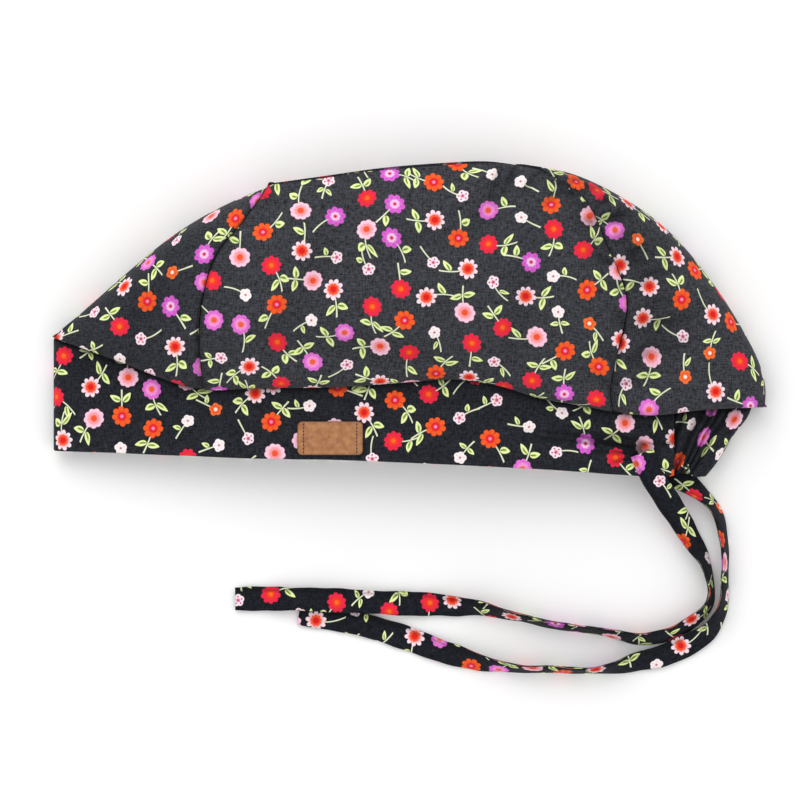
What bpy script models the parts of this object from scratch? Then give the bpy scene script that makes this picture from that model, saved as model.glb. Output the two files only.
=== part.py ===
"""Surgical scrub cap lying on its side, in metres, +Z up from the table.

+X runs from the brow fold to the nape and +Y from the mouth to the top of the crown. Every place in a
table is a share of a named size: x of CAP_LENGTH, y of CAP_HEIGHT, and height of CROWN_THICKNESS.
"""

import math

import bmesh
import bpy
import numpy as np

# Driving dimensions
CAP_LENGTH = 0.292  # brow fold to nape, as the cap lies
CAP_HEIGHT = 0.130  # lowest point of the nape to the top of the crown, as the cap lies
CROWN_THICKNESS = 0.044  # table to the highest point of the puffed crown
MOUTH_HEIGHT = 0.024  # table to the top of the band's upper layer, half-way along
BROW_FOLD = 0.010  # thickness across the fold at the brow
NAPE_FOLD = 0.0085  # thickness across the fold at the nape
BAND_WIDTH = 0.046
BAND_END_WIDTH = 0.030
BAND_WALL = 0.002  # the band is folded cloth, several layers thick
CLOTH_WALL = 0.0012
HEM_LAP = 0.006  # how far the back hem reaches up inside the crown
BROW_LAP = 0.016  # length past the brow over which the band's upper edge slips inside the crown
BAND_CLEARANCE = 0.001  # how far past the band's edge the crown is kept clear of the band
CROWN_ROLL = 0.005  # height of the crown's rounded lower edge
LIFT_START = 0.010  # distance below the crease at which the lower layers begin to stand off the table
LIFT_REACH = 0.008  # distance over which they do so
GATHER_DEPTH = 0.0008
LABEL_LENGTH = 0.0267
LABEL_WIDTH = 0.0137
LABEL_WALL = 0.0012
LABEL_CORNER = 0.002
LABEL_RISE = 0.0020  # band's lower edge to the label's lower edge
TIE_WIDTH = 0.0098
TIE_WALL = 0.0016
SEAM_GAP = 0.0003

# Places along the cap, as shares of CAP_LENGTH
BAND_TAPER = 0.700  # where the band starts to narrow towards its end
BAND_END = 0.872
HEM_START = 0.805
HEM_CLEAR = 0.882  # where the hem starts to rise out of the band's end
HEM_RISE = 0.100  # length over which it does so
CARRY_RISE = 0.030  # length over which the crown's edge steps from the band to the hem
LABEL_PLACE = 0.390
TIE_PLACE = 0.845  # where the ties leave the band

# How far the side panels swell past their edges, as shares of CROWN_THICKNESS
UPPER_SWELL = 0.15
LOWER_SWELL = 0.35

# Numbers of rows and columns
PANEL_COLUMNS = 21
PANEL_ROWS = 19
STRIP_QUARTER = 7
BAND_COLUMNS = 22
BAND_ROWS = 5
FOLD_STEPS = 6
HEM_COLUMNS = 24
HEM_ROWS = 5
HEM_GATHERS = 6
TIE_SIDES = 8
TIE_STEPS = 60


def table(columns, *rows):
    """A table as its named columns."""
    return dict(zip(columns.split(), np.array(rows, float).T, strict=True))


# The centre strip, section by section from the brow over the top to the nape. outline is the cap's edge
# seen from above and seam is where the strip meets the side panels. tuck is how far the strip's middle
# sinks in, as a share of CAP_HEIGHT. The heights are the strip's middle and its upper and lower seams;
# a lower seam below zero is pressed flat on the table.
SECTIONS = table(
    "outline_x outline_y seam_x seam_y tuck middle upper lower",
    (0.000, 0.443, 0.213, 0.278, 0.00, 0.11, 0.47, -0.05),
    (0.058, 0.557, 0.208, 0.421, 0.00, 0.16, 0.70, -0.05),
    (0.114, 0.666, 0.213, 0.560, 0.00, 0.20, 0.79, -0.05),
    (0.173, 0.770, 0.232, 0.696, 0.00, 0.25, 0.77, -0.04),
    (0.238, 0.855, 0.269, 0.805, 0.00, 0.29, 0.70, 0.02),
    (0.306, 0.924, 0.306, 0.924, 0.01, 0.32, 0.62, 0.09),
    (0.375, 0.945, 0.375, 0.945, 0.03, 0.34, 0.61, 0.11),
    (0.459, 0.971, 0.459, 0.971, 0.05, 0.34, 0.63, 0.11),
    (0.544, 0.987, 0.544, 0.987, 0.05, 0.34, 0.63, 0.11),
    (0.614, 0.992, 0.614, 0.992, 0.03, 0.34, 0.62, 0.11),
    (0.700, 0.972, 0.681, 0.971, 0.00, 0.32, 0.60, 0.09),
    (0.776, 0.912, 0.744, 0.875, 0.00, 0.29, 0.66, 0.02),
    (0.858, 0.791, 0.778, 0.717, 0.00, 0.25, 0.73, -0.04),
    (0.924, 0.623, 0.803, 0.554, 0.00, 0.20, 0.74, -0.05),
    (0.977, 0.435, 0.789, 0.381, 0.00, 0.17, 0.66, -0.05),
    (0.999, 0.316, 0.781, 0.285, 0.00, 0.14, 0.54, -0.05),
    (1.000, 0.223, 0.784, 0.209, 0.00, 0.12, 0.40, -0.05),
)
FRONT_CORNER = 5  # the section where the strip turns from the brow side to the top
BACK_CORNER = 10  # the section where it turns from the top to the nape side
LAST = len(SECTIONS["tuck"]) - 1

# Lower edge of the crown, where it hangs over the band and the back hem
CREASE = table(
    "x y",
    (0.000, 0.443),
    (0.091, 0.369),
    (0.213, 0.278),
    (0.285, 0.282),
    (0.403, 0.286),
    (0.500, 0.301),
    (0.556, 0.310),
    (0.628, 0.288),
    (0.678, 0.253),
    (0.740, 0.228),
    (0.784, 0.209),
    (0.837, 0.197),
    (0.910, 0.214),
    (1.000, 0.223),
)

# Lower edge of the band and of the back hem
MOUTH_EDGE = table(
    "x y",
    (0.000, 0.085),
    (0.122, 0.076),
    (0.263, 0.063),
    (0.403, 0.057),
    (0.572, 0.041),
    (0.684, 0.028),
    (0.808, 0.009),
    (0.860, 0.003),
    (0.893, 0.016),
    (0.916, 0.002),
)

# Edge of the back hem at the nape fold
NAPE_EDGE = table(
    "y x",
    (0.000, 0.916),
    (0.038, 0.930),
    (0.089, 0.945),
    (0.139, 0.958),
    (0.190, 0.976),
    (0.240, 0.984),
    (0.300, 0.984),
)

# Soft folds pressed into the upper side of the crown. angle is in degrees from +X, long and wide are
# shares of CAP_LENGTH, and deep is a share of CROWN_THICKNESS.
FOLDS = table(
    "x y angle long wide deep",
    (0.44, 0.40, -8, 0.150, 0.020, 0.060),
    (0.36, 0.62, 62, 0.130, 0.022, 0.050),
    (0.62, 0.88, 62, 0.060, 0.016, 0.055),
    (0.66, 0.55, 78, 0.110, 0.020, 0.050),
    (0.52, 0.74, 15, 0.120, 0.024, 0.040),
    (0.12, 0.47, 38, 0.090, 0.018, 0.060),
    (0.16, 0.62, 50, 0.090, 0.018, 0.045),
    (0.86, 0.48, 18, 0.070, 0.016, 0.070),
    (0.84, 0.36, 50, 0.070, 0.016, 0.055),
    (0.86, 0.66, 28, 0.070, 0.018, 0.050),
)

# Puckers where the strip is gathered into the seam at the back
PUCKERS = 7
PUCKER_DEPTH = 0.0012
PUCKER_REACH = 0.016

# Routes of the ties over the table, from TIE_PLACE on the band's lower edge. along and away are in metres,
# rise is a share of the band's height there, or of the hem's stack of cloth for the lower tie, and turn is
# how far the tie is turned on to its edge, in degrees.
LEFT_TIE_ROUTE = table(
    "along away rise turn",
    (-0.0055, 0.0100, 1.03, 0),
    (-0.0026, 0.0025, 1.03, 0),
    (0.0020, -0.0047, 0.90, 0),
    (0.0070, -0.0121, 0.60, 8),
    (0.0122, -0.0203, 0.30, 20),
    (0.0168, -0.0276, 0.10, 40),
    (0.0207, -0.0346, 0.02, 62),
    (0.0228, -0.0412, 0.00, 72),
    (0.0234, -0.0469, 0.00, 74),
    (0.0226, -0.0518, 0.00, 70),
    (0.0202, -0.0559, 0.00, 64),
    (0.0156, -0.0597, 0.00, 58),
    (0.0094, -0.0633, 0.00, 56),
    (0.0021, -0.0658, 0.00, 56),
    (-0.0062, -0.0665, 0.00, 62),
    (-0.0144, -0.0651, 0.00, 70),
    (-0.0226, -0.0633, 0.00, 74),
    (-0.0390, -0.0613, 0.00, 74),
    (-0.0554, -0.0576, 0.00, 72),
    (-0.0718, -0.0541, 0.00, 54),
    (-0.0882, -0.0526, 0.02, 18),
    (-0.1046, -0.0520, 0.08, 0),
    (-0.1251, -0.0510, 0.14, 0),
    (-0.1456, -0.0502, 0.14, 0),
    (-0.1600, -0.0501, 0.05, 0),
    (-0.1722, -0.0502, 0.01, 0),
)
RIGHT_TIE_ROUTE = table(
    "along away rise turn",
    (0.0053, 0.0030, 1.00, 0),
    (0.0103, -0.0002, 1.00, 6),
    (0.0152, -0.0036, 0.45, 30),
    (0.0201, -0.0074, 0.05, 55),
    (0.0242, -0.0118, 0.00, 64),
    (0.0271, -0.0176, 0.00, 66),
    (0.0286, -0.0256, 0.00, 70),
    (0.0291, -0.0338, 0.00, 74),
    (0.0291, -0.0420, 0.00, 74),
    (0.0288, -0.0494, 0.00, 70),
    (0.0270, -0.0567, 0.00, 58),
    (0.0230, -0.0628, 0.00, 42),
    (0.0172, -0.0672, 0.00, 26),
    (0.0103, -0.0709, 0.00, 18),
    (0.0021, -0.0739, 0.00, 20),
    (-0.0062, -0.0758, 0.00, 34),
    (-0.0144, -0.0779, 0.00, 56),
    (-0.0226, -0.0793, 0.00, 74),
    (-0.0390, -0.0791, 0.00, 76),
    (-0.0554, -0.0787, 0.00, 72),
    (-0.0718, -0.0762, 0.00, 48),
    (-0.0882, -0.0713, 0.00, 12),
    (-0.1046, -0.0654, 0.00, 0),
    (-0.1251, -0.0596, 0.00, 0),
    (-0.1460, -0.0563, 0.00, 0),
)


def smooth(value):
    """0 below 0, 1 above 1, and an even slope between."""
    value = np.clip(value, 0.0, 1.0)
    return value * value * (3.0 - 2.0 * value)


def read(places, values, at):
    """The value at a place, on a smooth curve through the values at some places."""
    slopes = np.gradient(values, places)
    row = np.clip(np.searchsorted(places, at) - 1, 0, len(places) - 2)
    step = places[row + 1] - places[row]
    u = np.clip((at - places[row]) / step, 0.0, 1.0)
    start = values[row] * (1 + 2 * u) * (1 - u) ** 2 + slopes[row] * step * u * (1 - u) ** 2
    finish = values[row + 1] * u**2 * (3 - 2 * u) + slopes[row + 1] * step * u**2 * (u - 1)
    return start + finish


def section_curve(column, at, first=0, last=LAST):
    """A column of SECTIONS at section numbers, smooth between the sections first and last."""
    return read(np.arange(first, last + 1), SECTIONS[column][first : last + 1], at)


def seam_point(at):
    """The seam seen from above, with a corner at each end of the top stretch."""
    at = np.asarray(at, float)
    place = np.empty(at.shape + (2,))
    for first, last in ((0, FRONT_CORNER), (FRONT_CORNER, BACK_CORNER), (BACK_CORNER, LAST)):
        inside = (at >= first) & (at <= last)
        place[inside, 0] = section_curve("seam_x", at[inside], first, last) * CAP_LENGTH
        place[inside, 1] = section_curve("seam_y", at[inside], first, last) * CAP_HEIGHT
    return place


def crease_y(x):
    return read(CREASE["x"], CREASE["y"], x / CAP_LENGTH) * CAP_HEIGHT


def mouth_edge_y(x):
    return read(MOUTH_EDGE["x"], MOUTH_EDGE["y"], x / CAP_LENGTH) * CAP_HEIGHT


def nape_edge_x(y):
    return read(NAPE_EDGE["y"], NAPE_EDGE["x"], y / CAP_HEIGHT) * CAP_LENGTH


def arch(x):
    return np.sin(np.pi * np.clip(x / CAP_LENGTH, 0.0, 1.0))


def band_top(x):
    """Height of the band's upper layer, arched between the two folds."""
    fold = BROW_FOLD + (NAPE_FOLD - BROW_FOLD) * x / CAP_LENGTH
    return fold + (MOUTH_HEIGHT - fold) * arch(x)


def hem_top(x):
    """Height of the back hem's upper layer, which lies just inside the end of the band."""
    inside = BAND_WALL + SEAM_GAP
    return band_top(x) - inside * (1 - smooth((x / CAP_LENGTH - HEM_CLEAR) / HEM_RISE))


def carried_height(x):
    """Height of what the crown's lower edge lies on."""
    past_band = smooth((x / CAP_LENGTH - BAND_END) / CARRY_RISE)
    return band_top(x) + (hem_top(x) - band_top(x)) * past_band


def lift_under(x, y):
    """How far the lower layer of band or hem stands off the table to clear the crown's edge under it."""
    return (CLOTH_WALL + 1.5 * SEAM_GAP) * smooth((y - crease_y(x) + LIFT_START) / LIFT_REACH)


def crown_roll(distance, share):
    """Extra height near the crown's lower edge, which is rounded over."""
    near = np.clip(distance / CROWN_ROLL, 0.0, 1.0)
    return CROWN_ROLL * np.sqrt(1 - (1 - near) ** 2) * (1 - share) ** 3


def fold_depth(x, y):
    depth = np.zeros_like(x)
    for row, angle in enumerate(FOLDS["angle"]):
        turn = math.radians(angle)
        across_x = x - FOLDS["x"][row] * CAP_LENGTH
        across_y = y - FOLDS["y"][row] * CAP_HEIGHT
        u = (across_x * math.cos(turn) + across_y * math.sin(turn)) / (FOLDS["long"][row] * CAP_LENGTH)
        v = (across_y * math.cos(turn) - across_x * math.sin(turn)) / (FOLDS["wide"][row] * CAP_LENGTH)
        depth += FOLDS["deep"][row] * CROWN_THICKNESS * np.exp(-(u**2) - v**2)
    return depth


def row_shares():
    """Shares from the crown's lower edge to its top, closer together near the edge."""
    return (np.arange(PANEL_ROWS + 1) / PANEL_ROWS) ** 1.5


def seam_sections():
    """Section numbers of the panel's left, top and right sides."""
    rows = row_shares()
    left = FRONT_CORNER * rows
    top = np.linspace(FRONT_CORNER, BACK_CORNER, PANEL_COLUMNS + 1)
    right = LAST - (LAST - BACK_CORNER) * rows
    return left, top, right


def seam_height(at, upper):
    """Height of the upper or lower seam at section numbers."""
    if not upper:
        return section_curve("lower", at) * CROWN_THICKNESS
    height = section_curve("upper", at) * CROWN_THICKNESS
    share = np.where(at < FRONT_CORNER, at / FRONT_CORNER, (LAST - at) / (LAST - BACK_CORNER))
    share = np.clip(share, 0.0, 1.0)
    ends = np.where(at < FRONT_CORNER, 0, LAST)
    edge = carried_height(seam_point(ends)[..., 0]) + SEAM_GAP + CLOTH_WALL
    height += (edge - SECTIONS["upper"][ends] * CROWN_THICKNESS) * (1 - smooth(share * 3))
    reach = share * 0.6 * CAP_HEIGHT
    return height + crown_roll(reach, share)


def coons(left, right, bottom, top, across, up):
    """A surface spanned between four edges that share their corners."""
    a = across[:, None, None]
    b = up[None, :, None]
    sides = (1 - a) * left[None] + a * right[None] + (1 - b) * bottom[:, None] + b * top[:, None]
    corners = (1 - a) * ((1 - b) * left[0] + b * left[-1]) + a * ((1 - b) * right[0] + b * right[-1])
    return sides - corners


def side_panel(upper):
    """Outer points of a side panel, columns from brow to nape and rows from the crease up."""
    left, top, right = seam_sections()
    across = np.linspace(0, 1, PANEL_COLUMNS + 1)
    up = row_shares()

    def edge(at):
        return np.column_stack([seam_point(at), seam_height(at, upper)])

    start, finish = seam_point(np.array([0.0, LAST]))[:, 0]
    crease_x = start + (finish - start) * across
    height = carried_height(crease_x) + SEAM_GAP + CLOTH_WALL
    if not upper:
        height = np.full_like(crease_x, seam_height(np.array([0.0]), False)[0])
    bottom = np.column_stack([crease_x, crease_y(crease_x), height])
    points = coons(edge(left), edge(right), bottom, edge(top), across, up)
    swell = 4 * across * (1 - across)
    swell = swell[:, None] ** 0.7 * ((1 - (1 - up) ** 2.5) * (1 - up**3) / 0.72)[None]
    if upper:
        points[..., 2] += UPPER_SWELL * CROWN_THICKNESS * swell
        points[..., 2] -= fold_depth(points[..., 0], points[..., 1]) * np.minimum(1, 3 * swell)
    else:
        points[..., 2] = np.maximum(0, points[..., 2] - LOWER_SWELL * CROWN_THICKNESS * swell)
    return points


def strip_stations():
    left, top, right = seam_sections()
    return np.concatenate([left, top[1:-1], right[::-1]])


def centre_strip():
    """Outer points of the centre strip: stations from brow to nape, and across from upper to lower seam."""
    at = strip_stations()
    seam = seam_point(at)
    middle_x = section_curve("outline_x", at) * CAP_LENGTH
    middle_y = (section_curve("outline_y", at) - section_curve("tuck", at)) * CAP_HEIGHT
    middle = np.column_stack([middle_x, middle_y])
    middle_z = section_curve("middle", at) * CROWN_THICKNESS
    share = np.clip(np.minimum(at / FRONT_CORNER, (LAST - at) / (LAST - BACK_CORNER)), 0, 1)
    fold_z = np.where(at < FRONT_CORNER, BROW_FOLD / 2, NAPE_FOLD / 2)
    ends = np.where(at < FRONT_CORNER, 0, LAST)
    middle_z += (fold_z - SECTIONS["middle"][ends] * CROWN_THICKNESS) * (1 - smooth(share * 3))
    reach = np.linalg.norm(seam - middle, axis=1)
    turn = np.linspace(0, np.pi / 2, STRIP_QUARTER + 1)
    halves = []
    for upper in (True, False):
        edge_z = seam_height(at, upper)
        rise = np.abs(edge_z - middle_z)
        power = 2 / (2 + np.minimum(2, 0.25 * reach / rise))[:, None]
        inward = 1 - np.cos(turn)[None] ** power
        climb = np.sin(turn)[None] ** power
        plan = middle[:, None] + (seam - middle)[:, None] * inward[..., None]
        height = middle_z[:, None] + (edge_z - middle_z)[:, None] * climb
        halves.append(np.dstack([plan, height]))
    points = np.concatenate([halves[0][:, ::-1], halves[1][:, 1:]], axis=1)
    points[..., 1] += crease_droop(points, share)
    points[..., 2] -= pucker(at, points, seam)
    points[:, : STRIP_QUARTER + 1, 2] -= (
        fold_depth(points[..., 0], points[..., 1])[:, : STRIP_QUARTER + 1]
        * np.sin(turn[::-1])[None]
        * smooth(3 * share)[:, None]
    )
    x = points[..., 0]
    band_edge = band_upper_edge(x) + BAND_CLEARANCE
    over = (points[..., 1] < np.maximum(band_edge, crease_y(x) + HEM_LAP)) & (x > 0.4 * BROW_FOLD)
    over[:, STRIP_QUARTER + 1 :] = False
    clear = carried_height(x) + 1.6 * SEAM_GAP + CLOTH_WALL
    points[..., 2] = np.where(over, np.maximum(points[..., 2], clear), points[..., 2])
    points[..., 2] = np.maximum(points[..., 2], 0)
    return points


def crease_droop(points, share):
    """Moves the strip's lowest rows on to the crease, which is not quite straight."""
    first, last = points[0], points[-1]
    droop = np.zeros(points.shape[:2])
    for edge, rows in ((first, slice(None, PANEL_ROWS + 1)), (last, slice(-PANEL_ROWS - 1, None))):
        away = crease_y(edge[:, 0]) - edge[:, 1]
        droop[rows] += away[None] * (1 - smooth(3 * share[rows]))[:, None]
    return droop


def pucker(at, points, seam):
    """Depth of the gathers along the seam at the back."""
    away = np.linalg.norm(points[..., :2] - seam[:, None], axis=2) / PUCKER_REACH
    share = np.clip((at - BACK_CORNER) / (LAST - BACK_CORNER), 0, 1)
    wave = 0.5 - 0.5 * np.cos(2 * np.pi * PUCKERS * share)
    upper = np.arange(points.shape[1]) <= STRIP_QUARTER
    fade = away * np.exp(1 - away - away**2 / 4) * upper[None]
    return PUCKER_DEPTH * (wave * np.sin(np.pi * share))[:, None] * fade


def band_upper_edge(x):
    """Upper edge of the band, just below the crown at the brow fold and inside the crown past it."""
    taper = smooth((x / CAP_LENGTH - BAND_TAPER) / (BAND_END - BAND_TAPER))
    full = mouth_edge_y(x) + BAND_WIDTH + (BAND_END_WIDTH - BAND_WIDTH) * taper
    butt = crease_y(x) - CLOTH_WALL - SEAM_GAP
    return butt + (full - butt) * smooth((x - 0.5 * BROW_FOLD) / BROW_LAP)


def fold_path(x_upper, x_lower, radius):
    """(x, layer, turn) along a U: the upper layer to the fold, round it, and back along the lower layer."""
    turns = np.linspace(np.pi / 2, -np.pi / 2, FOLD_STEPS + 1)
    rows = [(x, 1, 0.0) for x in x_upper]
    rows += [(radius, 0, turn) for turn in turns]
    rows += [(x, -1, 0.0) for x in x_lower]
    return rows


def band_points():
    """Outer points of the band: columns from the end of the upper layer round the brow, and rows upwards."""
    radius = BROW_FOLD / 2
    places = radius + (BAND_END * CAP_LENGTH - radius) * np.linspace(1, 0, BAND_COLUMNS + 1)[:-1] ** 1.3
    columns = []
    for x, layer, turn in fold_path(places, places[::-1], radius):
        if layer == 0:
            x = radius - radius * math.cos(turn)
        low = mouth_edge_y(x)
        high = band_upper_edge(x)
        y = np.linspace(low, high, BAND_ROWS + 1)
        if layer > 0:
            z = np.full_like(y, band_top(x))
        elif layer < 0:
            z = lift_under(x, y)
        else:
            z = radius + radius * math.sin(turn) + (band_top(radius) - BROW_FOLD) * max(0, math.sin(turn))
            z = z + lift_under(x, y) * max(0, -math.sin(turn)) * smooth((x - 0.3 * radius) / radius)
        columns.append(np.column_stack([np.full_like(y, x), y, z]))
    return np.array(columns)


def hem_points():
    """Outer points of the back hem: columns from its end round the nape fold, and rows upwards."""
    radius = NAPE_FOLD / 2
    start = HEM_START * CAP_LENGTH
    shares = np.linspace(0, 1, HEM_COLUMNS + 1)
    columns = []
    for share, layer, turn in fold_path(shares[:-1], shares[:-1][::-1], 1.0):
        up = np.linspace(0, 1, HEM_ROWS + 1)
        x_low = start + (nape_edge_x(0.0) - start) * share
        low = mouth_edge_y(x_low)
        high = crease_y(x_low) + HEM_LAP
        y = low + (high - low) * up
        nape = nape_edge_x(y)
        ripple = GATHER_DEPTH * (0.5 - 0.5 * np.cos(2 * np.pi * HEM_GATHERS * min(share, 1.0)))
        ripple = ripple * (1 - 0.5 * up)
        x = start + (nape - radius - start) * share
        if layer > 0:
            z = hem_top(x) - ripple
        elif layer < 0:
            past_band = smooth((x / CAP_LENGTH - HEM_CLEAR) / CARRY_RISE)
            z = (BAND_WALL + 1.5 * SEAM_GAP) * (1 - past_band) + np.maximum(lift_under(x, y), ripple)
        else:
            top = hem_top(nape - radius)
            bottom = lift_under(x, y)
            x = nape - radius + radius * math.cos(turn)
            z = (top + bottom) / 2 + (top - bottom) / 2 * math.sin(turn)
        columns.append(np.column_stack([x, y, z]))
    return np.array(columns)


def grid_normals(points, outward):
    """Unit normals of a grid of points."""
    along = np.gradient(points, axis=0)
    across = np.gradient(points, axis=1)
    normals = np.cross(along, across) * outward
    length = np.linalg.norm(normals, axis=2, keepdims=True)
    return normals / np.maximum(length, 1e-12)


def inset(points, sides):
    """Moves the named edges of a grid inwards by half of the seam gap."""
    moved = points.copy()
    for side in sides:
        edge, inner = {
            "start": ((0,), (1,)),
            "end": ((-1,), (-2,)),
            "low": ((slice(None), 0), (slice(None), 1)),
            "high": ((slice(None), -1), (slice(None), -2)),
        }[side]
        step = points[inner] - points[edge]
        length = np.linalg.norm(step, axis=-1, keepdims=True)
        moved[edge] += step / np.maximum(length, 1e-12) * SEAM_GAP / 2
    return moved


def material(name, colour, roughness):
    made = bpy.data.materials.new(name)
    made.use_nodes = True
    shader = made.node_tree.nodes["Principled BSDF"]
    shader.inputs["Base Color"].default_value = (*colour, 1)
    shader.inputs["Roughness"].default_value = roughness
    shader.inputs["Metallic"].default_value = 0
    return made


def add_object(name, vertices, faces, look):
    mesh = bpy.data.meshes.new(name)
    mesh.from_pydata([tuple(v) for v in vertices], [], faces)
    body = bmesh.new()
    body.from_mesh(mesh)
    bmesh.ops.triangulate(body, faces=body.faces)
    bmesh.ops.recalc_face_normals(body, faces=body.faces)
    if body.calc_volume(signed=True) < 0:
        bmesh.ops.reverse_faces(body, faces=body.faces)
    body.to_mesh(mesh)
    body.free()
    mesh.shade_smooth()
    mesh.set_sharp_from_angle(angle=math.radians(50))
    made = bpy.data.objects.new(name, mesh)
    made.data.materials.append(look)
    bpy.context.scene.collection.objects.link(made)
    return made


def cloth_body(name, outer, normals, wall, look):
    """A closed wall of cloth under a grid of outer points."""
    columns, rows = outer.shape[:2]
    inner = outer - normals * wall
    vertices = np.concatenate([outer.reshape(-1, 3), inner.reshape(-1, 3)])
    below = columns * rows

    def at(i, j):
        return i * rows + j

    faces = []
    for i in range(columns - 1):
        for j in range(rows - 1):
            quad = (at(i, j), at(i + 1, j), at(i + 1, j + 1), at(i, j + 1))
            faces.append(quad)
            faces.append(tuple(below + v for v in reversed(quad)))
    rim = [at(i, 0) for i in range(columns)]
    rim += [at(columns - 1, j) for j in range(1, rows)]
    rim += [at(i, rows - 1) for i in range(columns - 2, -1, -1)]
    rim += [at(0, j) for j in range(rows - 2, 0, -1)]
    for k, v in enumerate(rim):
        following = rim[(k + 1) % len(rim)]
        faces.append((v, below + v, below + following, following))
    return add_object(name, vertices, faces, look)


def make_crown(look):
    """Both side panels and the centre strip, with one set of normals along the seams that they share."""
    strip = centre_strip()
    strip_normals = grid_normals(strip, 1)
    strip_mitred = strip_normals.copy()
    panels = {True: side_panel(True), False: side_panel(False)}
    for upper, panel in panels.items():
        normals = grid_normals(panel, 1 if upper else -1)
        mitred = normals.copy()
        seam = 0 if upper else -1
        stations = (
            ((0, slice(None)), slice(0, PANEL_ROWS + 1)),
            ((slice(None), -1), slice(PANEL_ROWS, PANEL_ROWS + PANEL_COLUMNS + 1)),
            ((-1, slice(None, None, -1)), slice(-PANEL_ROWS - 1, None)),
        )
        for edge, rows in stations:
            panel[edge] = strip[rows, seam]
            shared = normals[edge] + strip_normals[rows, seam]
            shared /= np.linalg.norm(shared, axis=-1, keepdims=True)
            mitre = np.sum(shared * normals[edge], axis=-1, keepdims=True)
            shared /= np.maximum(mitre, 0.5)
            mitred[edge] = shared
            strip_mitred[rows, seam] = shared
        name = "crown_side_left" if upper else "crown_side_right"
        cloth_body(name, inset(panel, ("start", "end", "high")), mitred, CLOTH_WALL, look)
    cloth_body("crown_strip", inset(strip, ("low", "high")), strip_mitred, CLOTH_WALL, look)


def make_band(look):
    points = band_points()
    cloth_body("band", points, grid_normals(points, -1), BAND_WALL, look)


def make_hem(look):
    points = hem_points()
    cloth_body("back_casing", points, grid_normals(points, 1), CLOTH_WALL, look)


def make_label(look):
    """A thin patch with rounded corners, bent to the band's upper layer."""
    ends = LABEL_CORNER * (1 - np.cos(np.linspace(0, np.pi / 2, 4)))
    between = np.linspace(LABEL_CORNER, LABEL_LENGTH - LABEL_CORNER, 8)[1:-1]
    places = np.concatenate([ends, between, LABEL_LENGTH - ends[::-1]])
    sections = []
    for place in places:
        near = min(place, LABEL_LENGTH - place, LABEL_CORNER)
        trim = LABEL_CORNER - math.sqrt(LABEL_CORNER**2 - (LABEL_CORNER - near) ** 2)
        x = LABEL_PLACE * CAP_LENGTH - LABEL_LENGTH / 2 + place
        middle = LABEL_PLACE * CAP_LENGTH
        low = mouth_edge_y(middle) + LABEL_RISE
        base = band_top(x) + SEAM_GAP
        trim = min(trim, 0.9 * LABEL_CORNER)
        near_y, far_y = low + trim, low + LABEL_WIDTH - trim
        top = base + LABEL_WALL
        sections.append([(x, near_y, base), (x, far_y, base), (x, far_y, top), (x, near_y, top)])
    return loft("label", np.array(sections), look)


def loft(name, sections, look):
    """A closed body through rings of points, with flat ends."""
    count, sides = sections.shape[:2]
    faces = []
    for i in range(count - 1):
        for j in range(sides):
            k = (j + 1) % sides
            faces.append((i * sides + j, i * sides + k, (i + 1) * sides + k, (i + 1) * sides + j))
    faces.append(tuple(range(sides)))
    faces.append(tuple((count - 1) * sides + j for j in reversed(range(sides))))
    return add_object(name, sections.reshape(-1, 3), faces, look)


def above_band(x):
    """Height of a tie that lies on the band's upper layer."""
    return band_top(x) + SEAM_GAP


def above_hem(x):
    """Height of a tie that lies inside the mouth, on the lower layers of band and hem."""
    return np.full_like(x, BAND_WALL + CLOTH_WALL + GATHER_DEPTH + 2 * SEAM_GAP)


def tie_centre(route, rise_at):
    """Centre points and turns along a tie, evenly spaced on a smooth curve through its route."""
    end_x = TIE_PLACE * CAP_LENGTH
    turn = np.radians(route["turn"])
    x = end_x + route["along"]
    y = mouth_edge_y(end_x) + route["away"]
    half = TIE_WIDTH / 2 * np.sin(turn) + TIE_WALL / 2 * np.cos(turn)
    z = route["rise"] * rise_at(x) + half
    steps = np.linalg.norm(np.diff(np.column_stack([x, y, z]), axis=0), axis=1)
    places = np.concatenate([[0], np.cumsum(steps)])
    at = np.linspace(0, places[-1], TIE_STEPS + 1)
    columns = [read(places, values, at) for values in (x, y, z, turn)]
    floor = TIE_WIDTH / 2 * np.sin(columns[3]) + TIE_WALL / 2 * np.cos(columns[3])
    columns[2] = np.maximum(columns[2], floor)
    return np.column_stack(columns[:3]), columns[3]


def make_tie(name, route, rise_at, look):
    """A flat tie with rounded edges, laid on the table and turned on to its edge where it twists."""
    centre, turn = tie_centre(route, rise_at)
    heading = np.gradient(centre, axis=0)
    heading /= np.linalg.norm(heading, axis=1, keepdims=True)
    level = np.cross(heading, (0, 0, 1))
    level /= np.linalg.norm(level, axis=1, keepdims=True)
    upward = np.cross(level, heading)
    wide = level * np.cos(turn)[:, None] + upward * np.sin(turn)[:, None]
    thick = np.cross(heading, wide)
    angles = (np.arange(TIE_SIDES) + 0.5) * 2 * np.pi / TIE_SIDES
    squareness = 0.6
    sections = []
    for middle, side, face in zip(centre, wide, thick, strict=True):
        ring = []
        for angle in angles:
            u = math.copysign(abs(math.cos(angle)) ** squareness, math.cos(angle))
            v = math.copysign(abs(math.sin(angle)) ** squareness, math.sin(angle))
            ring.append(middle + side * u * TIE_WIDTH / 2 + face * v * TIE_WALL / 2)
        sections.append(ring)
    sections = np.array(sections)
    sections[..., 2] = np.maximum(sections[..., 2], 0)
    return loft(name, sections, look)


def place_origin():
    """Moves everything so that the origin is below the middle of the cap, which leaves out the ties."""
    cap = [o for o in bpy.data.objects if not o.name.startswith("tie_")]
    corners = np.array([v.co for o in cap for v in o.data.vertices])
    middle = (corners.min(axis=0) + corners.max(axis=0)) / 2
    for made in bpy.data.objects:
        for vertex in made.data.vertices:
            vertex.co.x -= middle[0]
            vertex.co.y -= middle[1]


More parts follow.
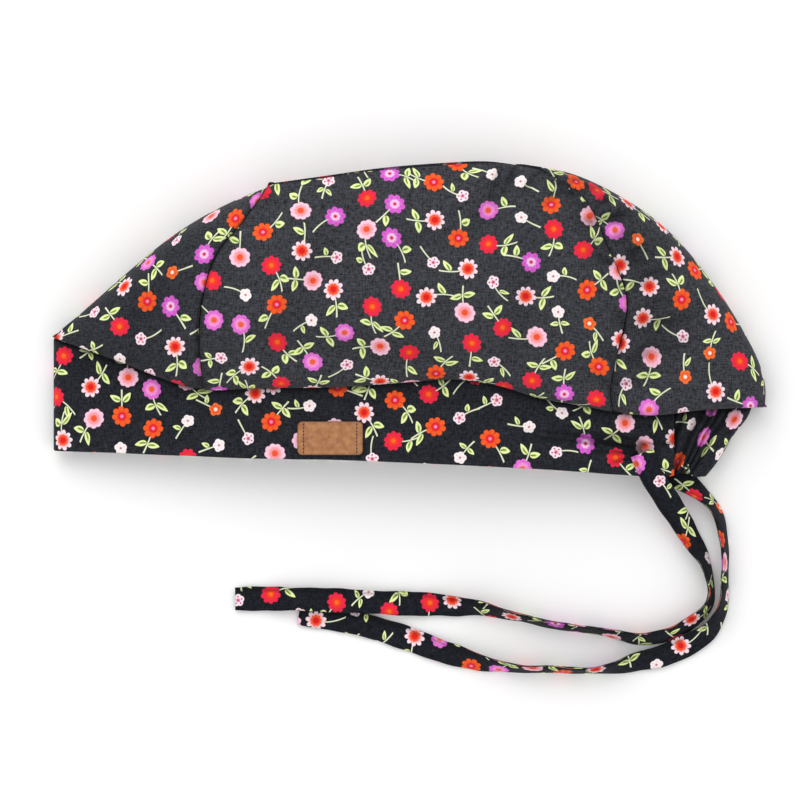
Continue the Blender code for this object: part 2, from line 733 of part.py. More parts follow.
def build():
    for old in list(bpy.data.objects):
        bpy.data.objects.remove(old, do_unlink=True)
    print_cloth = material("printed_cotton", (0.022, 0.024, 0.034), 0.85)
    leather = material("tan_leather", (0.46, 0.22, 0.09), 0.6)
    make_crown(print_cloth)
    make_band(print_cloth)
    make_hem(print_cloth)
    make_label(leather)
    make_tie("tie_left", LEFT_TIE_ROUTE, above_band, print_cloth)
    make_tie("tie_right", RIGHT_TIE_ROUTE, above_hem, print_cloth)
    place_origin()


build()
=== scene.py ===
"""Looks of the surgical scrub cap, lying on its side and seen from straight above. Sizes are in metres.

The cloth follows the same tables as the CAD part. Every place in them is a share of a named size: x of
CAP_LENGTH, y of CAP_HEIGHT and height of CROWN_THICKNESS. The finer folds, gathers and hems are added here.
"""

import functools
import math

import bmesh
import bpy
import numpy as np
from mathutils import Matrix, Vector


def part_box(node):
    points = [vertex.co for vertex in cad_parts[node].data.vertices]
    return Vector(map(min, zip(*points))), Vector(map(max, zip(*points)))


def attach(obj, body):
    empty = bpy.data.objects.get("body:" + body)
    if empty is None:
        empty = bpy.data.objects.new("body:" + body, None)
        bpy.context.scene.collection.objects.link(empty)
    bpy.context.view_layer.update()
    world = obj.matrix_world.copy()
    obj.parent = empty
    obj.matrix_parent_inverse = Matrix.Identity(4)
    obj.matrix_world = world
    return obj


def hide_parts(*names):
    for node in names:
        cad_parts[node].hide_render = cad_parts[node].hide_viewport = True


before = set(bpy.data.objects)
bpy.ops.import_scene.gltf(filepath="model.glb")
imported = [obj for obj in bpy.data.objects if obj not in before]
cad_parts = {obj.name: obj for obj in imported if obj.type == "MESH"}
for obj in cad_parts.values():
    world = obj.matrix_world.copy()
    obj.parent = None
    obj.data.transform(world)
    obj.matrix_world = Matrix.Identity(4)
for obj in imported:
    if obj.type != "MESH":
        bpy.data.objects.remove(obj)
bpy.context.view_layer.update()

# Sizes shared with the CAD part
CAP_LENGTH = 0.292
CAP_HEIGHT = 0.130
CROWN_THICKNESS = 0.044
MOUTH_HEIGHT = 0.024
BROW_FOLD = 0.010
NAPE_FOLD = 0.0085
BAND_WIDTH = 0.046
BAND_END_WIDTH = 0.030
HEM_LAP = 0.006
BROW_LAP = 0.016
BAND_CLEARANCE = 0.001
CROWN_ROLL = 0.005
LIFT_START = 0.010
LIFT_REACH = 0.008
LABEL_LENGTH = 0.0267
LABEL_WIDTH = 0.0137
LABEL_CORNER = 0.002
LABEL_RISE = 0.0020
TIE_WIDTH = 0.0098
TIE_WALL = 0.0016
SEAM_GAP = 0.0003
BAND_TAPER = 0.700
BAND_END = 0.872
HEM_START = 0.805
HEM_CLEAR = 0.882
HEM_RISE = 0.100
CARRY_RISE = 0.030
LABEL_PLACE = 0.390
TIE_PLACE = 0.845
UPPER_SWELL = 0.15
LOWER_SWELL = 0.35

# Thicknesses and turned edges of the real cloth
CLOTH = 0.0007  # one layer of poplin with its seam allowances
BAND_CLOTH = 0.0015  # the band is folded double
HEM_CLOTH = 0.0011
EDGE_ROLL = 0.0013  # radius of the crown's turned lower edge
EDGE_LAP = 0.005  # how far the turned edge runs on underneath
BROW_GAP = 0.0003  # between the band's upper edge and the crown, at the brow fold
CLEARANCE = 0.0016  # the CAD part's own cloth wall and seam gap, which the lower layers keep clear of
LABEL_WALL = 0.0012
LABEL_GAP = 0.0002  # between the label and the band
LABEL_SOFT = 0.00035  # rounding of the label's upper edges
STITCH_LENGTH = 0.0011
STITCH_RADIUS = 0.00022
STITCH_INSET = 0.0025  # from the label's ends to its seams
STITCH_MARGIN = 0.0012  # from the label's long sides to its stitches
SEAM_DIP = 0.0008  # how deep the cloth dips into a seam
SEAM_REACH = 0.0011  # how far from the seam the dip is felt
SEAM_CALM = 0.006  # width of the smooth cloth along a seam
CREASE_CALM = 0.008  # the same along the crease, at the centre strip
HEM_RIPPLE = 0.0017  # depth of the elastic's gathers
HEM_FULLNESS = 1.15  # the hem's length of cloth to the length that it is gathered to
TIE_SEAM = 0.70  # where a tie's edge seam runs, as a share of half the width
TIE_FLAT = (0.42, 0.7)  # powers of the tie's section: flat on top, and rounded at the edges
TIE_WAVES = (210, 340, 520)  # waves in the tie's width and in how hollow it lies, in radians a metre

# How dark the cloth looks in painted shade, and how far painted light lightens its ground
SOFT_SHADE = 0.012  # depth of a soft fold that takes away two thirds of the light
SHARP_SHADE = 0.0015  # the same for a sharp crease
UNDER_SHADE = 0.92  # darkest share, right under the crown's overhanging edge
UNDER_SHADE_START = 0.0005
UNDER_SHADE_REACH = 0.0008
EDGE_SHADE = 0.6  # darkest share at the crown's turned lower edge
EDGE_SHADE_REACH = 0.0007
# Shares of painted light on the ground of the band and of the hem
BAND_LIT = 0.23
HEM_LIT = 0.27

# Slight waves of worn cloth: seed, longest wave and height
CROWN_CRUMPLE = (5, 0.040, 0.0006)
BAND_CRUMPLE = (11, 0.034, 0.00022)
HEM_CRUMPLE = (21, 0.018, 0.00018)

# Rows and columns of the visible cloth
PANEL_COLUMNS = 120
PANEL_ROWS = 92
STRIP_QUARTER = 20
BAND_COLUMNS = 200
BAND_ROWS = 56
FOLD_STEPS = 12
CROWDING = 0.86  # how much closer rows and columns lie at the cloth's edges
LAP_ROW = 12  # the row that a turned edge runs back towards
HEM_COLUMNS = 170
HEM_ROWS = 26
LAPS = (1.0, 0.5, 0.2)  # rows of the lap under a turned edge, as shares of its width
ROLL_TURNS = np.radians([90, 68, 45, 22])  # rows round the turned edge, from underneath
TIE_SIDES = 20
TIE_STEPS = 300

# Print: one flower with its stem and leaves in each cell of four interleaved grids, sizes in millimetres
CELL = 28.6
SCATTER = 1.3  # how far a flower strays from the middle of its cell, each way
PRINT_TURN = 23.0  # degrees from the weave to the rows of flowers

# Where each piece is cut from the printed cloth, in metres
CUT_FROM = {
    "side_panel_left": (0.0, 0.0),
    "side_panel_right": (0.377, 0.377),
    "centre_strip": (0.211, 0.147),
    "head_band": (0.0, 0.31),
    "nape_hem": (0.0, 0.57),
}


def table(columns, *rows):
    """A table as its named columns."""
    return dict(zip(columns.split(), np.array(rows, float).T, strict=True))


# The centre strip, section by section from the brow over the top to the nape. outline is the cap's edge
# seen from above and seam is where the strip meets the side panels. tuck is how far the strip's middle
# sinks in, as a share of CAP_HEIGHT. The heights are the strip's middle and its upper and lower seams;
# a lower seam below zero is pressed flat on the table.
SECTIONS = table(
    "outline_x outline_y seam_x seam_y tuck middle upper lower",
    (0.000, 0.443, 0.213, 0.278, 0.00, 0.11, 0.47, -0.05),
    (0.058, 0.557, 0.208, 0.421, 0.00, 0.16, 0.70, -0.05),
    (0.114, 0.666, 0.213, 0.560, 0.00, 0.20, 0.79, -0.05),
    (0.173, 0.770, 0.232, 0.696, 0.00, 0.25, 0.77, -0.04),
    (0.238, 0.855, 0.269, 0.805, 0.00, 0.29, 0.70, 0.02),
    (0.306, 0.924, 0.306, 0.924, 0.01, 0.32, 0.62, 0.09),
    (0.375, 0.945, 0.375, 0.945, 0.03, 0.34, 0.61, 0.11),
    (0.459, 0.971, 0.459, 0.971, 0.05, 0.34, 0.63, 0.11),
    (0.544, 0.987, 0.544, 0.987, 0.05, 0.34, 0.63, 0.11),
    (0.614, 0.992, 0.614, 0.992, 0.03, 0.34, 0.62, 0.11),
    (0.700, 0.972, 0.681, 0.971, 0.00, 0.32, 0.60, 0.09),
    (0.776, 0.912, 0.744, 0.875, 0.00, 0.29, 0.66, 0.02),
    (0.858, 0.791, 0.778, 0.717, 0.00, 0.25, 0.73, -0.04),
    (0.924, 0.623, 0.803, 0.554, 0.00, 0.20, 0.74, -0.05),
    (0.977, 0.435, 0.789, 0.381, 0.00, 0.17, 0.66, -0.05),
    (0.999, 0.316, 0.781, 0.285, 0.00, 0.14, 0.54, -0.05),
    (1.000, 0.223, 0.784, 0.209, 0.00, 0.12, 0.40, -0.05),
)
FRONT_CORNER = 5  # the section where the strip turns from the brow side to the top
BACK_CORNER = 10  # the section where it turns from the top to the nape side
LAST = len(SECTIONS["tuck"]) - 1

# Lower edge of the crown, where it hangs over the band and the back hem
CREASE = table(
    "x y",
    (0.000, 0.443), (0.091, 0.369), (0.213, 0.278), (0.285, 0.282), (0.403, 0.286),
    (0.500, 0.301), (0.556, 0.310), (0.628, 0.288), (0.678, 0.253), (0.740, 0.228),
    (0.784, 0.209), (0.837, 0.197), (0.910, 0.214), (1.000, 0.223),
)

# Lower edge of the band and of the back hem
MOUTH_EDGE = table(
    "x y",
    (0.000, 0.085), (0.122, 0.076), (0.263, 0.063), (0.403, 0.057), (0.572, 0.041),
    (0.684, 0.028), (0.808, 0.009), (0.860, 0.003), (0.893, 0.016), (0.916, 0.002),
)

# Edge of the back hem at the nape fold
NAPE_EDGE = table(
    "y x",
    (0.000, 0.916), (0.038, 0.930), (0.089, 0.945), (0.139, 0.958),
    (0.190, 0.976), (0.240, 0.984), (0.300, 0.984),
)

# Soft folds pressed into the upper side of the crown. angle is in degrees from +X, long and wide are
# shares of CAP_LENGTH, and deep is a share of CROWN_THICKNESS.
FOLDS = table(
    "x y angle long wide deep",
    (0.44, 0.40, -8, 0.150, 0.020, 0.060),
    (0.36, 0.62, 62, 0.130, 0.022, 0.050),
    (0.62, 0.88, 62, 0.060, 0.016, 0.055),
    (0.66, 0.55, 78, 0.110, 0.020, 0.050),
    (0.52, 0.74, 15, 0.120, 0.024, 0.040),
    (0.12, 0.47, 38, 0.090, 0.018, 0.060),
    (0.16, 0.62, 50, 0.090, 0.018, 0.045),
    (0.86, 0.48, 18, 0.070, 0.016, 0.070),
    (0.84, 0.36, 50, 0.070, 0.016, 0.055),
    (0.86, 0.66, 28, 0.070, 0.018, 0.050),
)

# Routes of the ties over the table, from TIE_PLACE on the band's lower edge. along and away are in metres,
# rise is a share of the band's height there, or of the hem's stack of cloth for the lower tie, and turn is
# how far the tie is turned on to its edge, in degrees.
LEFT_TIE_ROUTE = table(
    "along away rise turn",
    (-0.0055, 0.0100, 1.03, 0),
    (-0.0026, 0.0025, 1.03, 0),
    (0.0020, -0.0047, 0.90, 0),
    (0.0070, -0.0121, 0.60, 8),
    (0.0122, -0.0203, 0.30, 20),
    (0.0168, -0.0276, 0.10, 40),
    (0.0207, -0.0346, 0.02, 62),
    (0.0228, -0.0412, 0.00, 72),
    (0.0234, -0.0469, 0.00, 74),
    (0.0226, -0.0518, 0.00, 70),
    (0.0202, -0.0559, 0.00, 64),
    (0.0156, -0.0597, 0.00, 58),
    (0.0094, -0.0633, 0.00, 56),
    (0.0021, -0.0658, 0.00, 56),
    (-0.0062, -0.0665, 0.00, 62),
    (-0.0144, -0.0651, 0.00, 70),
    (-0.0226, -0.0633, 0.00, 74),
    (-0.0390, -0.0613, 0.00, 74),
    (-0.0554, -0.0576, 0.00, 72),
    (-0.0718, -0.0541, 0.00, 54),
    (-0.0882, -0.0526, 0.02, 18),
    (-0.1046, -0.0520, 0.08, 0),
    (-0.1251, -0.0510, 0.14, 0),
    (-0.1456, -0.0502, 0.14, 0),
    (-0.1600, -0.0501, 0.05, 0),
    (-0.1722, -0.0502, 0.01, 0),
)
RIGHT_TIE_ROUTE = table(
    "along away rise turn",
    (0.0053, 0.0030, 1.00, 0),
    (0.0103, -0.0002, 1.00, 6),
    (0.0152, -0.0036, 0.45, 30),
    (0.0201, -0.0074, 0.05, 55),
    (0.0242, -0.0118, 0.00, 64),
    (0.0271, -0.0176, 0.00, 66),
    (0.0286, -0.0256, 0.00, 70),
    (0.0291, -0.0338, 0.00, 74),
    (0.0291, -0.0420, 0.00, 74),
    (0.0288, -0.0494, 0.00, 70),
    (0.0270, -0.0567, 0.00, 58),
    (0.0230, -0.0628, 0.00, 42),
    (0.0172, -0.0672, 0.00, 26),
    (0.0103, -0.0709, 0.00, 18),
    (0.0021, -0.0739, 0.00, 20),
    (-0.0062, -0.0758, 0.00, 34),
    (-0.0144, -0.0779, 0.00, 56),
    (-0.0226, -0.0793, 0.00, 74),
    (-0.0390, -0.0791, 0.00, 76),
    (-0.0554, -0.0787, 0.00, 72),
    (-0.0718, -0.0762, 0.00, 48),
    (-0.0882, -0.0713, 0.00, 12),
    (-0.1046, -0.0654, 0.00, 0),
    (-0.1251, -0.0596, 0.00, 0),
    (-0.1460, -0.0563, 0.00, 0),
)


# Narrow creases that only the visible cloth has, in the same columns as FOLDS
CREASES = table(
    "x y angle long wide deep",
    (0.543, 0.322, -15, 0.014, 0.0036, 0.024),
    (0.193, 0.318, -25, 0.012, 0.0034, 0.018),
    (0.850, 0.485, 12, 0.024, 0.0045, 0.030),
    (0.826, 0.394, 51, 0.036, 0.0050, 0.030),
    (0.873, 0.420, 20, 0.030, 0.0060, 0.022),
    (0.842, 0.560, 8, 0.026, 0.0055, 0.024),
    (0.642, 0.945, 66, 0.020, 0.0042, 0.030),
    (0.622, 0.930, 75, 0.022, 0.0040, 0.022),
    (0.668, 0.925, 52, 0.022, 0.0040, 0.026),
    (0.700, 0.880, 40, 0.022, 0.0045, 0.020),
    (0.300, 0.880, -35, 0.022, 0.0045, 0.014),
    (0.262, 0.740, -10, 0.020, 0.0045, 0.012),
    (0.766, 0.815, 20, 0.012, 0.0036, 0.034),
    (0.797, 0.824, 22, 0.019, 0.0050, 0.040),
    (0.772, 0.866, 20, 0.009, 0.0032, 0.024),
    (0.812, 0.713, 28, 0.013, 0.0046, 0.036),
    (0.824, 0.672, 15, 0.017, 0.0050, 0.030),
    (0.838, 0.640, 12, 0.015, 0.0040, 0.022),
)

# Gathers along the seam at the back. at is a section number, slant how far a gather leans over its reach, in
# sections, wide is in sections and reach and deep are in metres.
GATHERS = table(
    "at reach wide deep slant",
    (10.20, 0.010, 0.08, 0.0010, 0.10),
    (10.52, 0.015, 0.09, 0.0017, 0.12),
    (10.84, 0.017, 0.09, 0.0019, 0.10),
    (11.16, 0.014, 0.08, 0.0016, 0.05),
    (11.52, 0.018, 0.10, 0.0020, 0.00),
    (11.92, 0.015, 0.09, 0.0017, -0.05),
    (12.30, 0.018, 0.10, 0.0019, -0.08),
    (12.80, 0.014, 0.09, 0.0014, -0.10),
    (13.35, 0.012, 0.10, 0.0011, -0.10),
    (14.10, 0.013, 0.10, 0.0011, -0.15),
    (14.90, 0.014, 0.12, 0.0011, -0.20),
)

# Flat-pressed ridges towards the end of the band, from one place to another: width and height in metres
BAND_RIDGES = table(
    "x0 y0 x1 y1 wide high",
    (0.640, 0.143, 0.822, 0.112, 0.0009, 0.00045),
    (0.700, 0.160, 0.822, 0.104, 0.0008, 0.00040),
    (0.756, 0.150, 0.826, 0.098, 0.0009, 0.00055),
    (0.745, 0.100, 0.818, 0.088, 0.0008, 0.00040),
    (0.776, 0.056, 0.820, 0.080, 0.0008, 0.00045),
    (0.812, 0.118, 0.871, 0.122, 0.0009, 0.00060),
    (0.800, 0.072, 0.848, 0.112, 0.0013, 0.00190),
)
RIDGE_WIDE = 0.0009  # a wider ridge has softer shade beside it
RIDGE_VALLEY = 0.0003  # how deep the cloth sinks beside a ridge


def unit(vectors, least=1e-12):
    """Vectors made one long, apart from those shorter than the least length."""
    return vectors / np.maximum(np.linalg.norm(vectors, axis=-1, keepdims=True), least)


def smooth(value):
    """0 below 0, 1 above 1, and an even slope between."""
    value = np.clip(value, 0.0, 1.0)
    return value * value * (3.0 - 2.0 * value)


def read(places, values, at):
    """The value at a place, on a smooth curve through the values at some places."""
    slopes = np.gradient(values, places)
    row = np.clip(np.searchsorted(places, at) - 1, 0, len(places) - 2)
    step = places[row + 1] - places[row]
    u = np.clip((at - places[row]) / step, 0.0, 1.0)
    start = values[row] * (1 + 2 * u) * (1 - u) ** 2 + slopes[row] * step * u * (1 - u) ** 2
    finish = values[row + 1] * u**2 * (3 - 2 * u) + slopes[row + 1] * step * u**2 * (u - 1)
    return start + finish


def section_curve(column, at, first=0, last=LAST):
    """A column of SECTIONS at section numbers, smooth between the sections first and last."""
    return read(np.arange(first, last + 1), SECTIONS[column][first : last + 1], at)


def seam_point(at):
    """The seam seen from above, with a corner at each end of the top stretch."""
    at = np.asarray(at, float)
    place = np.empty(at.shape + (2,))
    for first, last in ((0, FRONT_CORNER), (FRONT_CORNER, BACK_CORNER), (BACK_CORNER, LAST)):
        inside = (at >= first) & (at <= last)
        place[inside, 0] = section_curve("seam_x", at[inside], first, last) * CAP_LENGTH
        place[inside, 1] = section_curve("seam_y", at[inside], first, last) * CAP_HEIGHT
    return place


def crease_y(x):
    return read(CREASE["x"], CREASE["y"], x / CAP_LENGTH) * CAP_HEIGHT


def mouth_edge_y(x):
    return read(MOUTH_EDGE["x"], MOUTH_EDGE["y"], x / CAP_LENGTH) * CAP_HEIGHT


def nape_edge_x(y):
    return read(NAPE_EDGE["y"], NAPE_EDGE["x"], y / CAP_HEIGHT) * CAP_LENGTH


def arch(x):
    return np.sin(np.pi * np.clip(x / CAP_LENGTH, 0.0, 1.0))


def band_top(x):
    """Height of the band's upper layer, arched between the two folds."""
    fold = BROW_FOLD + (NAPE_FOLD - BROW_FOLD) * x / CAP_LENGTH
    return fold + (MOUTH_HEIGHT - fold) * arch(x)


def hem_top(x):
    """Height of the back hem's upper layer, which lies just inside the end of the band."""
    inside = BAND_CLOTH + 2 * SEAM_GAP
    return band_top(x) - inside * (1 - smooth((x / CAP_LENGTH - HEM_CLEAR) / HEM_RISE))


def carried_height(x):
    """Height of what the crown's lower edge lies on."""
    past_band = smooth((x / CAP_LENGTH - BAND_END) / CARRY_RISE)
    return band_top(x) + (hem_top(x) - band_top(x)) * past_band


def lift_under(x, y):
    """How far the lower layer of band or hem stands off the table to clear the crown's edge under it."""
    return CLEARANCE * smooth((y - crease_y(x) + LIFT_START) / LIFT_REACH)


def crown_roll(distance, share):
    """Extra height near the crown's lower edge, which is rounded over."""
    near = np.clip(distance / CROWN_ROLL, 0.0, 1.0)
    return CROWN_ROLL * np.sqrt(1 - (1 - near) ** 2) * (1 - share) ** 3


def fold_depth(folds, x, y):
    depth = np.zeros_like(x)
    for row, angle in enumerate(folds["angle"]):
        turn = math.radians(angle)
        across_x = x - folds["x"][row] * CAP_LENGTH
        across_y = y - folds["y"][row] * CAP_HEIGHT
        u = (across_x * math.cos(turn) + across_y * math.sin(turn)) / (folds["long"][row] * CAP_LENGTH)
        v = (across_y * math.cos(turn) - across_x * math.sin(turn)) / (folds["wide"][row] * CAP_LENGTH)
        depth += folds["deep"][row] * CROWN_THICKNESS * np.exp(-(u**2) - v**2)
    return depth


def crumple(x, y, seed, longest, height, waves=18):
    """Slight irregular waves of cloth that has been worn and washed."""
    dice = np.random.default_rng(seed)
    total = np.zeros_like(x)
    for wave in range(waves):
        length = longest * 0.25 ** (wave / (waves - 1))
        angle, phase, warp = dice.uniform(0, 2 * np.pi, 3)
        run = (x * math.cos(angle) + y * math.sin(angle)) / length
        bend = 0.6 * np.sin((y * math.cos(angle) - x * math.sin(angle)) / (1.7 * length) * 2 * np.pi + warp)
        total += length / longest * np.sin(2 * np.pi * run + bend + phase)
    return height * total / math.sqrt(waves / 4)


def crowded(count):
    """Shares from 0 to 1 that lie closer together towards both ends."""
    even = np.arange(count + 1) / count
    return even - CROWDING * np.sin(2 * np.pi * even) / (2 * np.pi)


def seam_sections():
    """Section numbers of the panel's left, top and right sides."""
    rows = crowded(PANEL_ROWS)
    left = FRONT_CORNER * rows
    top = FRONT_CORNER + (BACK_CORNER - FRONT_CORNER) * crowded(PANEL_COLUMNS)
    right = LAST - (LAST - BACK_CORNER) * rows
    return left, top, right


def seam_height(at, upper):
    """Height of the upper or lower seam at section numbers."""
    if not upper:
        return section_curve("lower", at) * CROWN_THICKNESS
    height = section_curve("upper", at) * CROWN_THICKNESS
    share = np.where(at < FRONT_CORNER, at / FRONT_CORNER, (LAST - at) / (LAST - BACK_CORNER))
    share = np.clip(share, 0.0, 1.0)
    ends = np.where(at < FRONT_CORNER, 0, LAST)
    edge = carried_height(seam_point(ends)[..., 0]) + SEAM_GAP + EDGE_ROLL
    height += (edge - SECTIONS["upper"][ends] * CROWN_THICKNESS) * (1 - smooth(share * 3))
    reach = share * 0.6 * CAP_HEIGHT
    return height + crown_roll(reach, share)


def coons(left, right, bottom, top, across, up):
    """A surface spanned between four edges that share their corners."""
    a = across[:, None, None]
    b = up[None, :, None]
    sides = (1 - a) * left[None] + a * right[None] + (1 - b) * bottom[:, None] + b * top[:, None]
    corners = (1 - a) * ((1 - b) * left[0] + b * left[-1]) + a * ((1 - b) * right[0] + b * right[-1])
    return sides - corners


def gather_depth(at, away):
    """Depth of the gathers at section numbers along the back seam and distances from it."""
    depth = np.zeros(np.broadcast(at, away).shape)
    for place, reach, wide, deep, slant in zip(*GATHERS.values(), strict=True):
        near = away / reach
        across = (at - place - slant * near) / (wide * (1 + 0.5 * near))
        depth += deep * np.exp(-(across**2)) * np.clip(near * 3, 0, 1) * np.exp(-(near**2))
    return depth


def seam_dip(away):
    """How far the cloth dips into a seam at a distance from it."""
    return SEAM_DIP * np.exp(-((away / SEAM_REACH) ** 2))


def side_panel(upper):
    """Outer points of a side panel and their shade: columns from brow to nape, rows from the crease up."""
    left, top, right = seam_sections()
    across = crowded(PANEL_COLUMNS)
    up = crowded(PANEL_ROWS)

    def edge(at):
        return np.column_stack([seam_point(at), seam_height(at, upper)])

    start, finish = seam_point(np.array([0.0, LAST]))[:, 0]
    crease_x = start + (finish - start) * across
    height = carried_height(crease_x) + SEAM_GAP + EDGE_ROLL
    if not upper:
        height = np.full_like(crease_x, seam_height(np.array([0.0]), False)[0])
    bottom = np.column_stack([crease_x, crease_y(crease_x), height])
    points = coons(edge(left), edge(right), bottom, edge(top), across, up)
    swell = 4 * across * (1 - across)
    swell = swell[:, None] ** 0.7 * ((1 - (1 - up) ** 2.5) * (1 - up**3) / 0.72)[None]
    if not upper:
        points[..., 2] = np.maximum(0, points[..., 2] - LOWER_SWELL * CROWN_THICKNESS * swell)
        return points, np.zeros(points.shape[:2])
    x, y = points[..., 0], points[..., 1]
    points[..., 2] += UPPER_SWELL * CROWN_THICKNESS * swell
    soft = fold_depth(FOLDS, x, y) * np.minimum(1, 3 * swell)
    plan = points[..., :2]
    edges = (plan[-1:], plan[:1], plan[:, -1:])
    to_right, to_left, to_top = [np.linalg.norm(plan - edge, axis=2) for edge in edges]
    inside = smooth(np.minimum(to_right, np.minimum(to_left, to_top)) / SEAM_CALM)
    from_crease = smooth((y - crease_y(x)) / SEAM_CALM)
    sharp = gather_depth(right[None], 2.2 * to_right) + fold_depth(CREASES, x, y) * from_crease
    dip = seam_dip(to_right) + seam_dip(to_left) + seam_dip(to_top)
    points[..., 2] += crumple(x, y, *CROWN_CRUMPLE) * inside * from_crease - soft - sharp - dip
    return points, hollow_shade(soft, sharp + 0.8 * dip)


def hollow_shade(soft, sharp):
    """How dark the cloth looks in its soft and its sharp hollows, from 0 to 1."""
    return 1 - np.exp(-soft / SOFT_SHADE - np.maximum(sharp, 0) / SHARP_SHADE)


def centre_strip():
    """Outer points of the centre strip: stations from brow to nape, and across from upper to lower seam."""
    left, top, right = seam_sections()
    at = np.concatenate([left, top[1:-1], right[::-1]])
    seam = seam_point(at)
    middle_x = section_curve("outline_x", at) * CAP_LENGTH
    middle_y = (section_curve("outline_y", at) - section_curve("tuck", at)) * CAP_HEIGHT
    middle = np.column_stack([middle_x, middle_y])
    middle_z = section_curve("middle", at) * CROWN_THICKNESS
    share = np.clip(np.minimum(at / FRONT_CORNER, (LAST - at) / (LAST - BACK_CORNER)), 0, 1)
    fold_z = np.where(at < FRONT_CORNER, BROW_FOLD / 2, NAPE_FOLD / 2)
    ends = np.where(at < FRONT_CORNER, 0, LAST)
    middle_z += (fold_z - SECTIONS["middle"][ends] * CROWN_THICKNESS) * (1 - smooth(share * 3))
    reach = np.linalg.norm(seam - middle, axis=1)
    quarter = np.arange(STRIP_QUARTER + 1) / STRIP_QUARTER
    turn = (1 - (1 - quarter) ** 1.35) * np.pi / 2
    halves = []
    for upper in (True, False):
        edge_z = seam_height(at, upper)
        rise = np.abs(edge_z - middle_z)
        power = 2 / (2 + np.minimum(2, 0.25 * reach / rise))[:, None]
        inward = 1 - np.cos(turn)[None] ** power
        climb = np.sin(turn)[None] ** power
        plan = middle[:, None] + (seam - middle)[:, None] * inward[..., None]
        height = middle_z[:, None] + (edge_z - middle_z)[:, None] * climb
        halves.append(np.dstack([plan, height]))
    points = np.concatenate([halves[0][:, ::-1], halves[1][:, 1:]], axis=1)
    points[..., 1] += crease_droop(points, share)
    x, y = points[..., 0], points[..., 1]
    upward = np.concatenate([np.sin(turn[::-1]), np.zeros(STRIP_QUARTER)])[None]
    away = np.linalg.norm(points[..., :2] - seam[:, None], axis=2)
    calm = smooth(3 * share)[:, None] * upward
    from_crease = smooth((y - crease_y(x)) / CREASE_CALM)
    soft = fold_depth(FOLDS, x, y) * calm
    sharp = gather_depth(at[:, None], away) * upward + fold_depth(CREASES, x, y) * calm
    dip = seam_dip(away) * upward
    rough = crumple(x, y, *CROWN_CRUMPLE) * smooth(away / SEAM_CALM) * from_crease * upward
    points[..., 2] += rough - soft - sharp - dip
    clear_of_band(points)
    points[..., 2] = np.maximum(points[..., 2], 0)
    return points, hollow_shade(soft, sharp + 0.8 * dip)


def clear_of_band(points):
    """Keeps the strip's upper half above the band or hem that it hangs over."""
    upper = points[:, : STRIP_QUARTER + 1]
    x, y = upper[..., 0], upper[..., 1]
    limit = np.maximum(band_upper_edge(x) + BAND_CLEARANCE, crease_y(x) + HEM_LAP)
    clear = carried_height(x) + SEAM_GAP + EDGE_ROLL
    clear = clear - 0.8 * np.maximum(0, y - limit) - 2.5 * np.maximum(0, 0.4 * BROW_FOLD - x)
    upper[..., 2] = np.maximum(upper[..., 2], clear)


def crease_droop(points, share):
    """Moves the strip's lowest rows on to the crease, which is not quite straight."""
    droop = np.zeros(points.shape[:2])
    for edge, rows in ((points[0], slice(None, PANEL_ROWS + 1)), (points[-1], slice(-PANEL_ROWS - 1, None))):
        away = crease_y(edge[:, 0]) - edge[:, 1]
        droop[rows] += away[None] * (1 - smooth(3 * share[rows]))[:, None]
    return droop


def turned_edge(edge, inner, outward, size):
    """Rows that carry an edge on, rolled over and under itself, from the end of the lap to the edge."""
    inward = inner - edge
    inward[..., 2] = 0
    inward = unit(inward)
    radius = (EDGE_ROLL * size)[:, None]
    lap = [edge + inward * (radius + EDGE_LAP * lap * size[:, None]) - outward * radius for lap in LAPS]
    roll = [edge + radius * (inward * (1 - math.cos(turn)) - outward * math.sin(turn)) for turn in ROLL_TURNS]
    return np.array(lap + roll)


def band_upper_edge(x):
    """Upper edge of the band, just below the crown at the brow fold and inside the crown past it."""
    taper = smooth((x / CAP_LENGTH - BAND_TAPER) / (BAND_END - BAND_TAPER))
    full = mouth_edge_y(x) + BAND_WIDTH + (BAND_END_WIDTH - BAND_WIDTH) * taper
    butt = crease_y(x) - BROW_GAP
    return butt + (full - butt) * smooth((x - 0.5 * BROW_FOLD) / BROW_LAP)


def fold_path(x_upper, x_lower, radius):
    """(x, layer, turn) along a U: the upper layer to the fold, round it, and back along the lower layer."""
    turns = np.linspace(np.pi / 2, -np.pi / 2, FOLD_STEPS + 1)
    round_fold = [(radius, 0, turn) for turn in turns]
    return [(x, 1, 0.0) for x in x_upper] + round_fold + [(x, -1, 0.0) for x in x_lower]


def ridge_height(x, y):
    """Height of the ridges pressed into the band near its end, and the shade beside them."""
    height = np.zeros_like(y)
    shade = np.zeros_like(y)
    for x0, y0, x1, y1, wide, high in zip(*BAND_RIDGES.values(), strict=True):
        run = np.array([(x1 - x0) * CAP_LENGTH, (y1 - y0) * CAP_HEIGHT])
        along = ((x - x0 * CAP_LENGTH) * run[0] + (y - y0 * CAP_HEIGHT) * run[1]) / (run @ run)
        # How strongly the ridge shows along its length, tapering in at both ends
        fade = smooth(along * 3) * smooth((1.08 - along) * 12)
        off = (y - y0 * CAP_HEIGHT) - along * run[1]
        valley = np.exp(-((off / wide + 1.7) ** 2)) + 0.4 * np.exp(-((off / wide - 1.7) ** 2))
        height += high * fade * np.exp(-((off / wide) ** 2)) - RIDGE_VALLEY * fade * valley
        shade += 0.8 * fade * valley * min(1, RIDGE_WIDE / wide) ** 4
    return height, shade


def crease_shade(x, y):
    """How dark the band or hem looks under the crown's overhanging edge."""
    return UNDER_SHADE * np.exp(np.minimum(0, (y - crease_y(x) + UNDER_SHADE_START) / UNDER_SHADE_REACH))


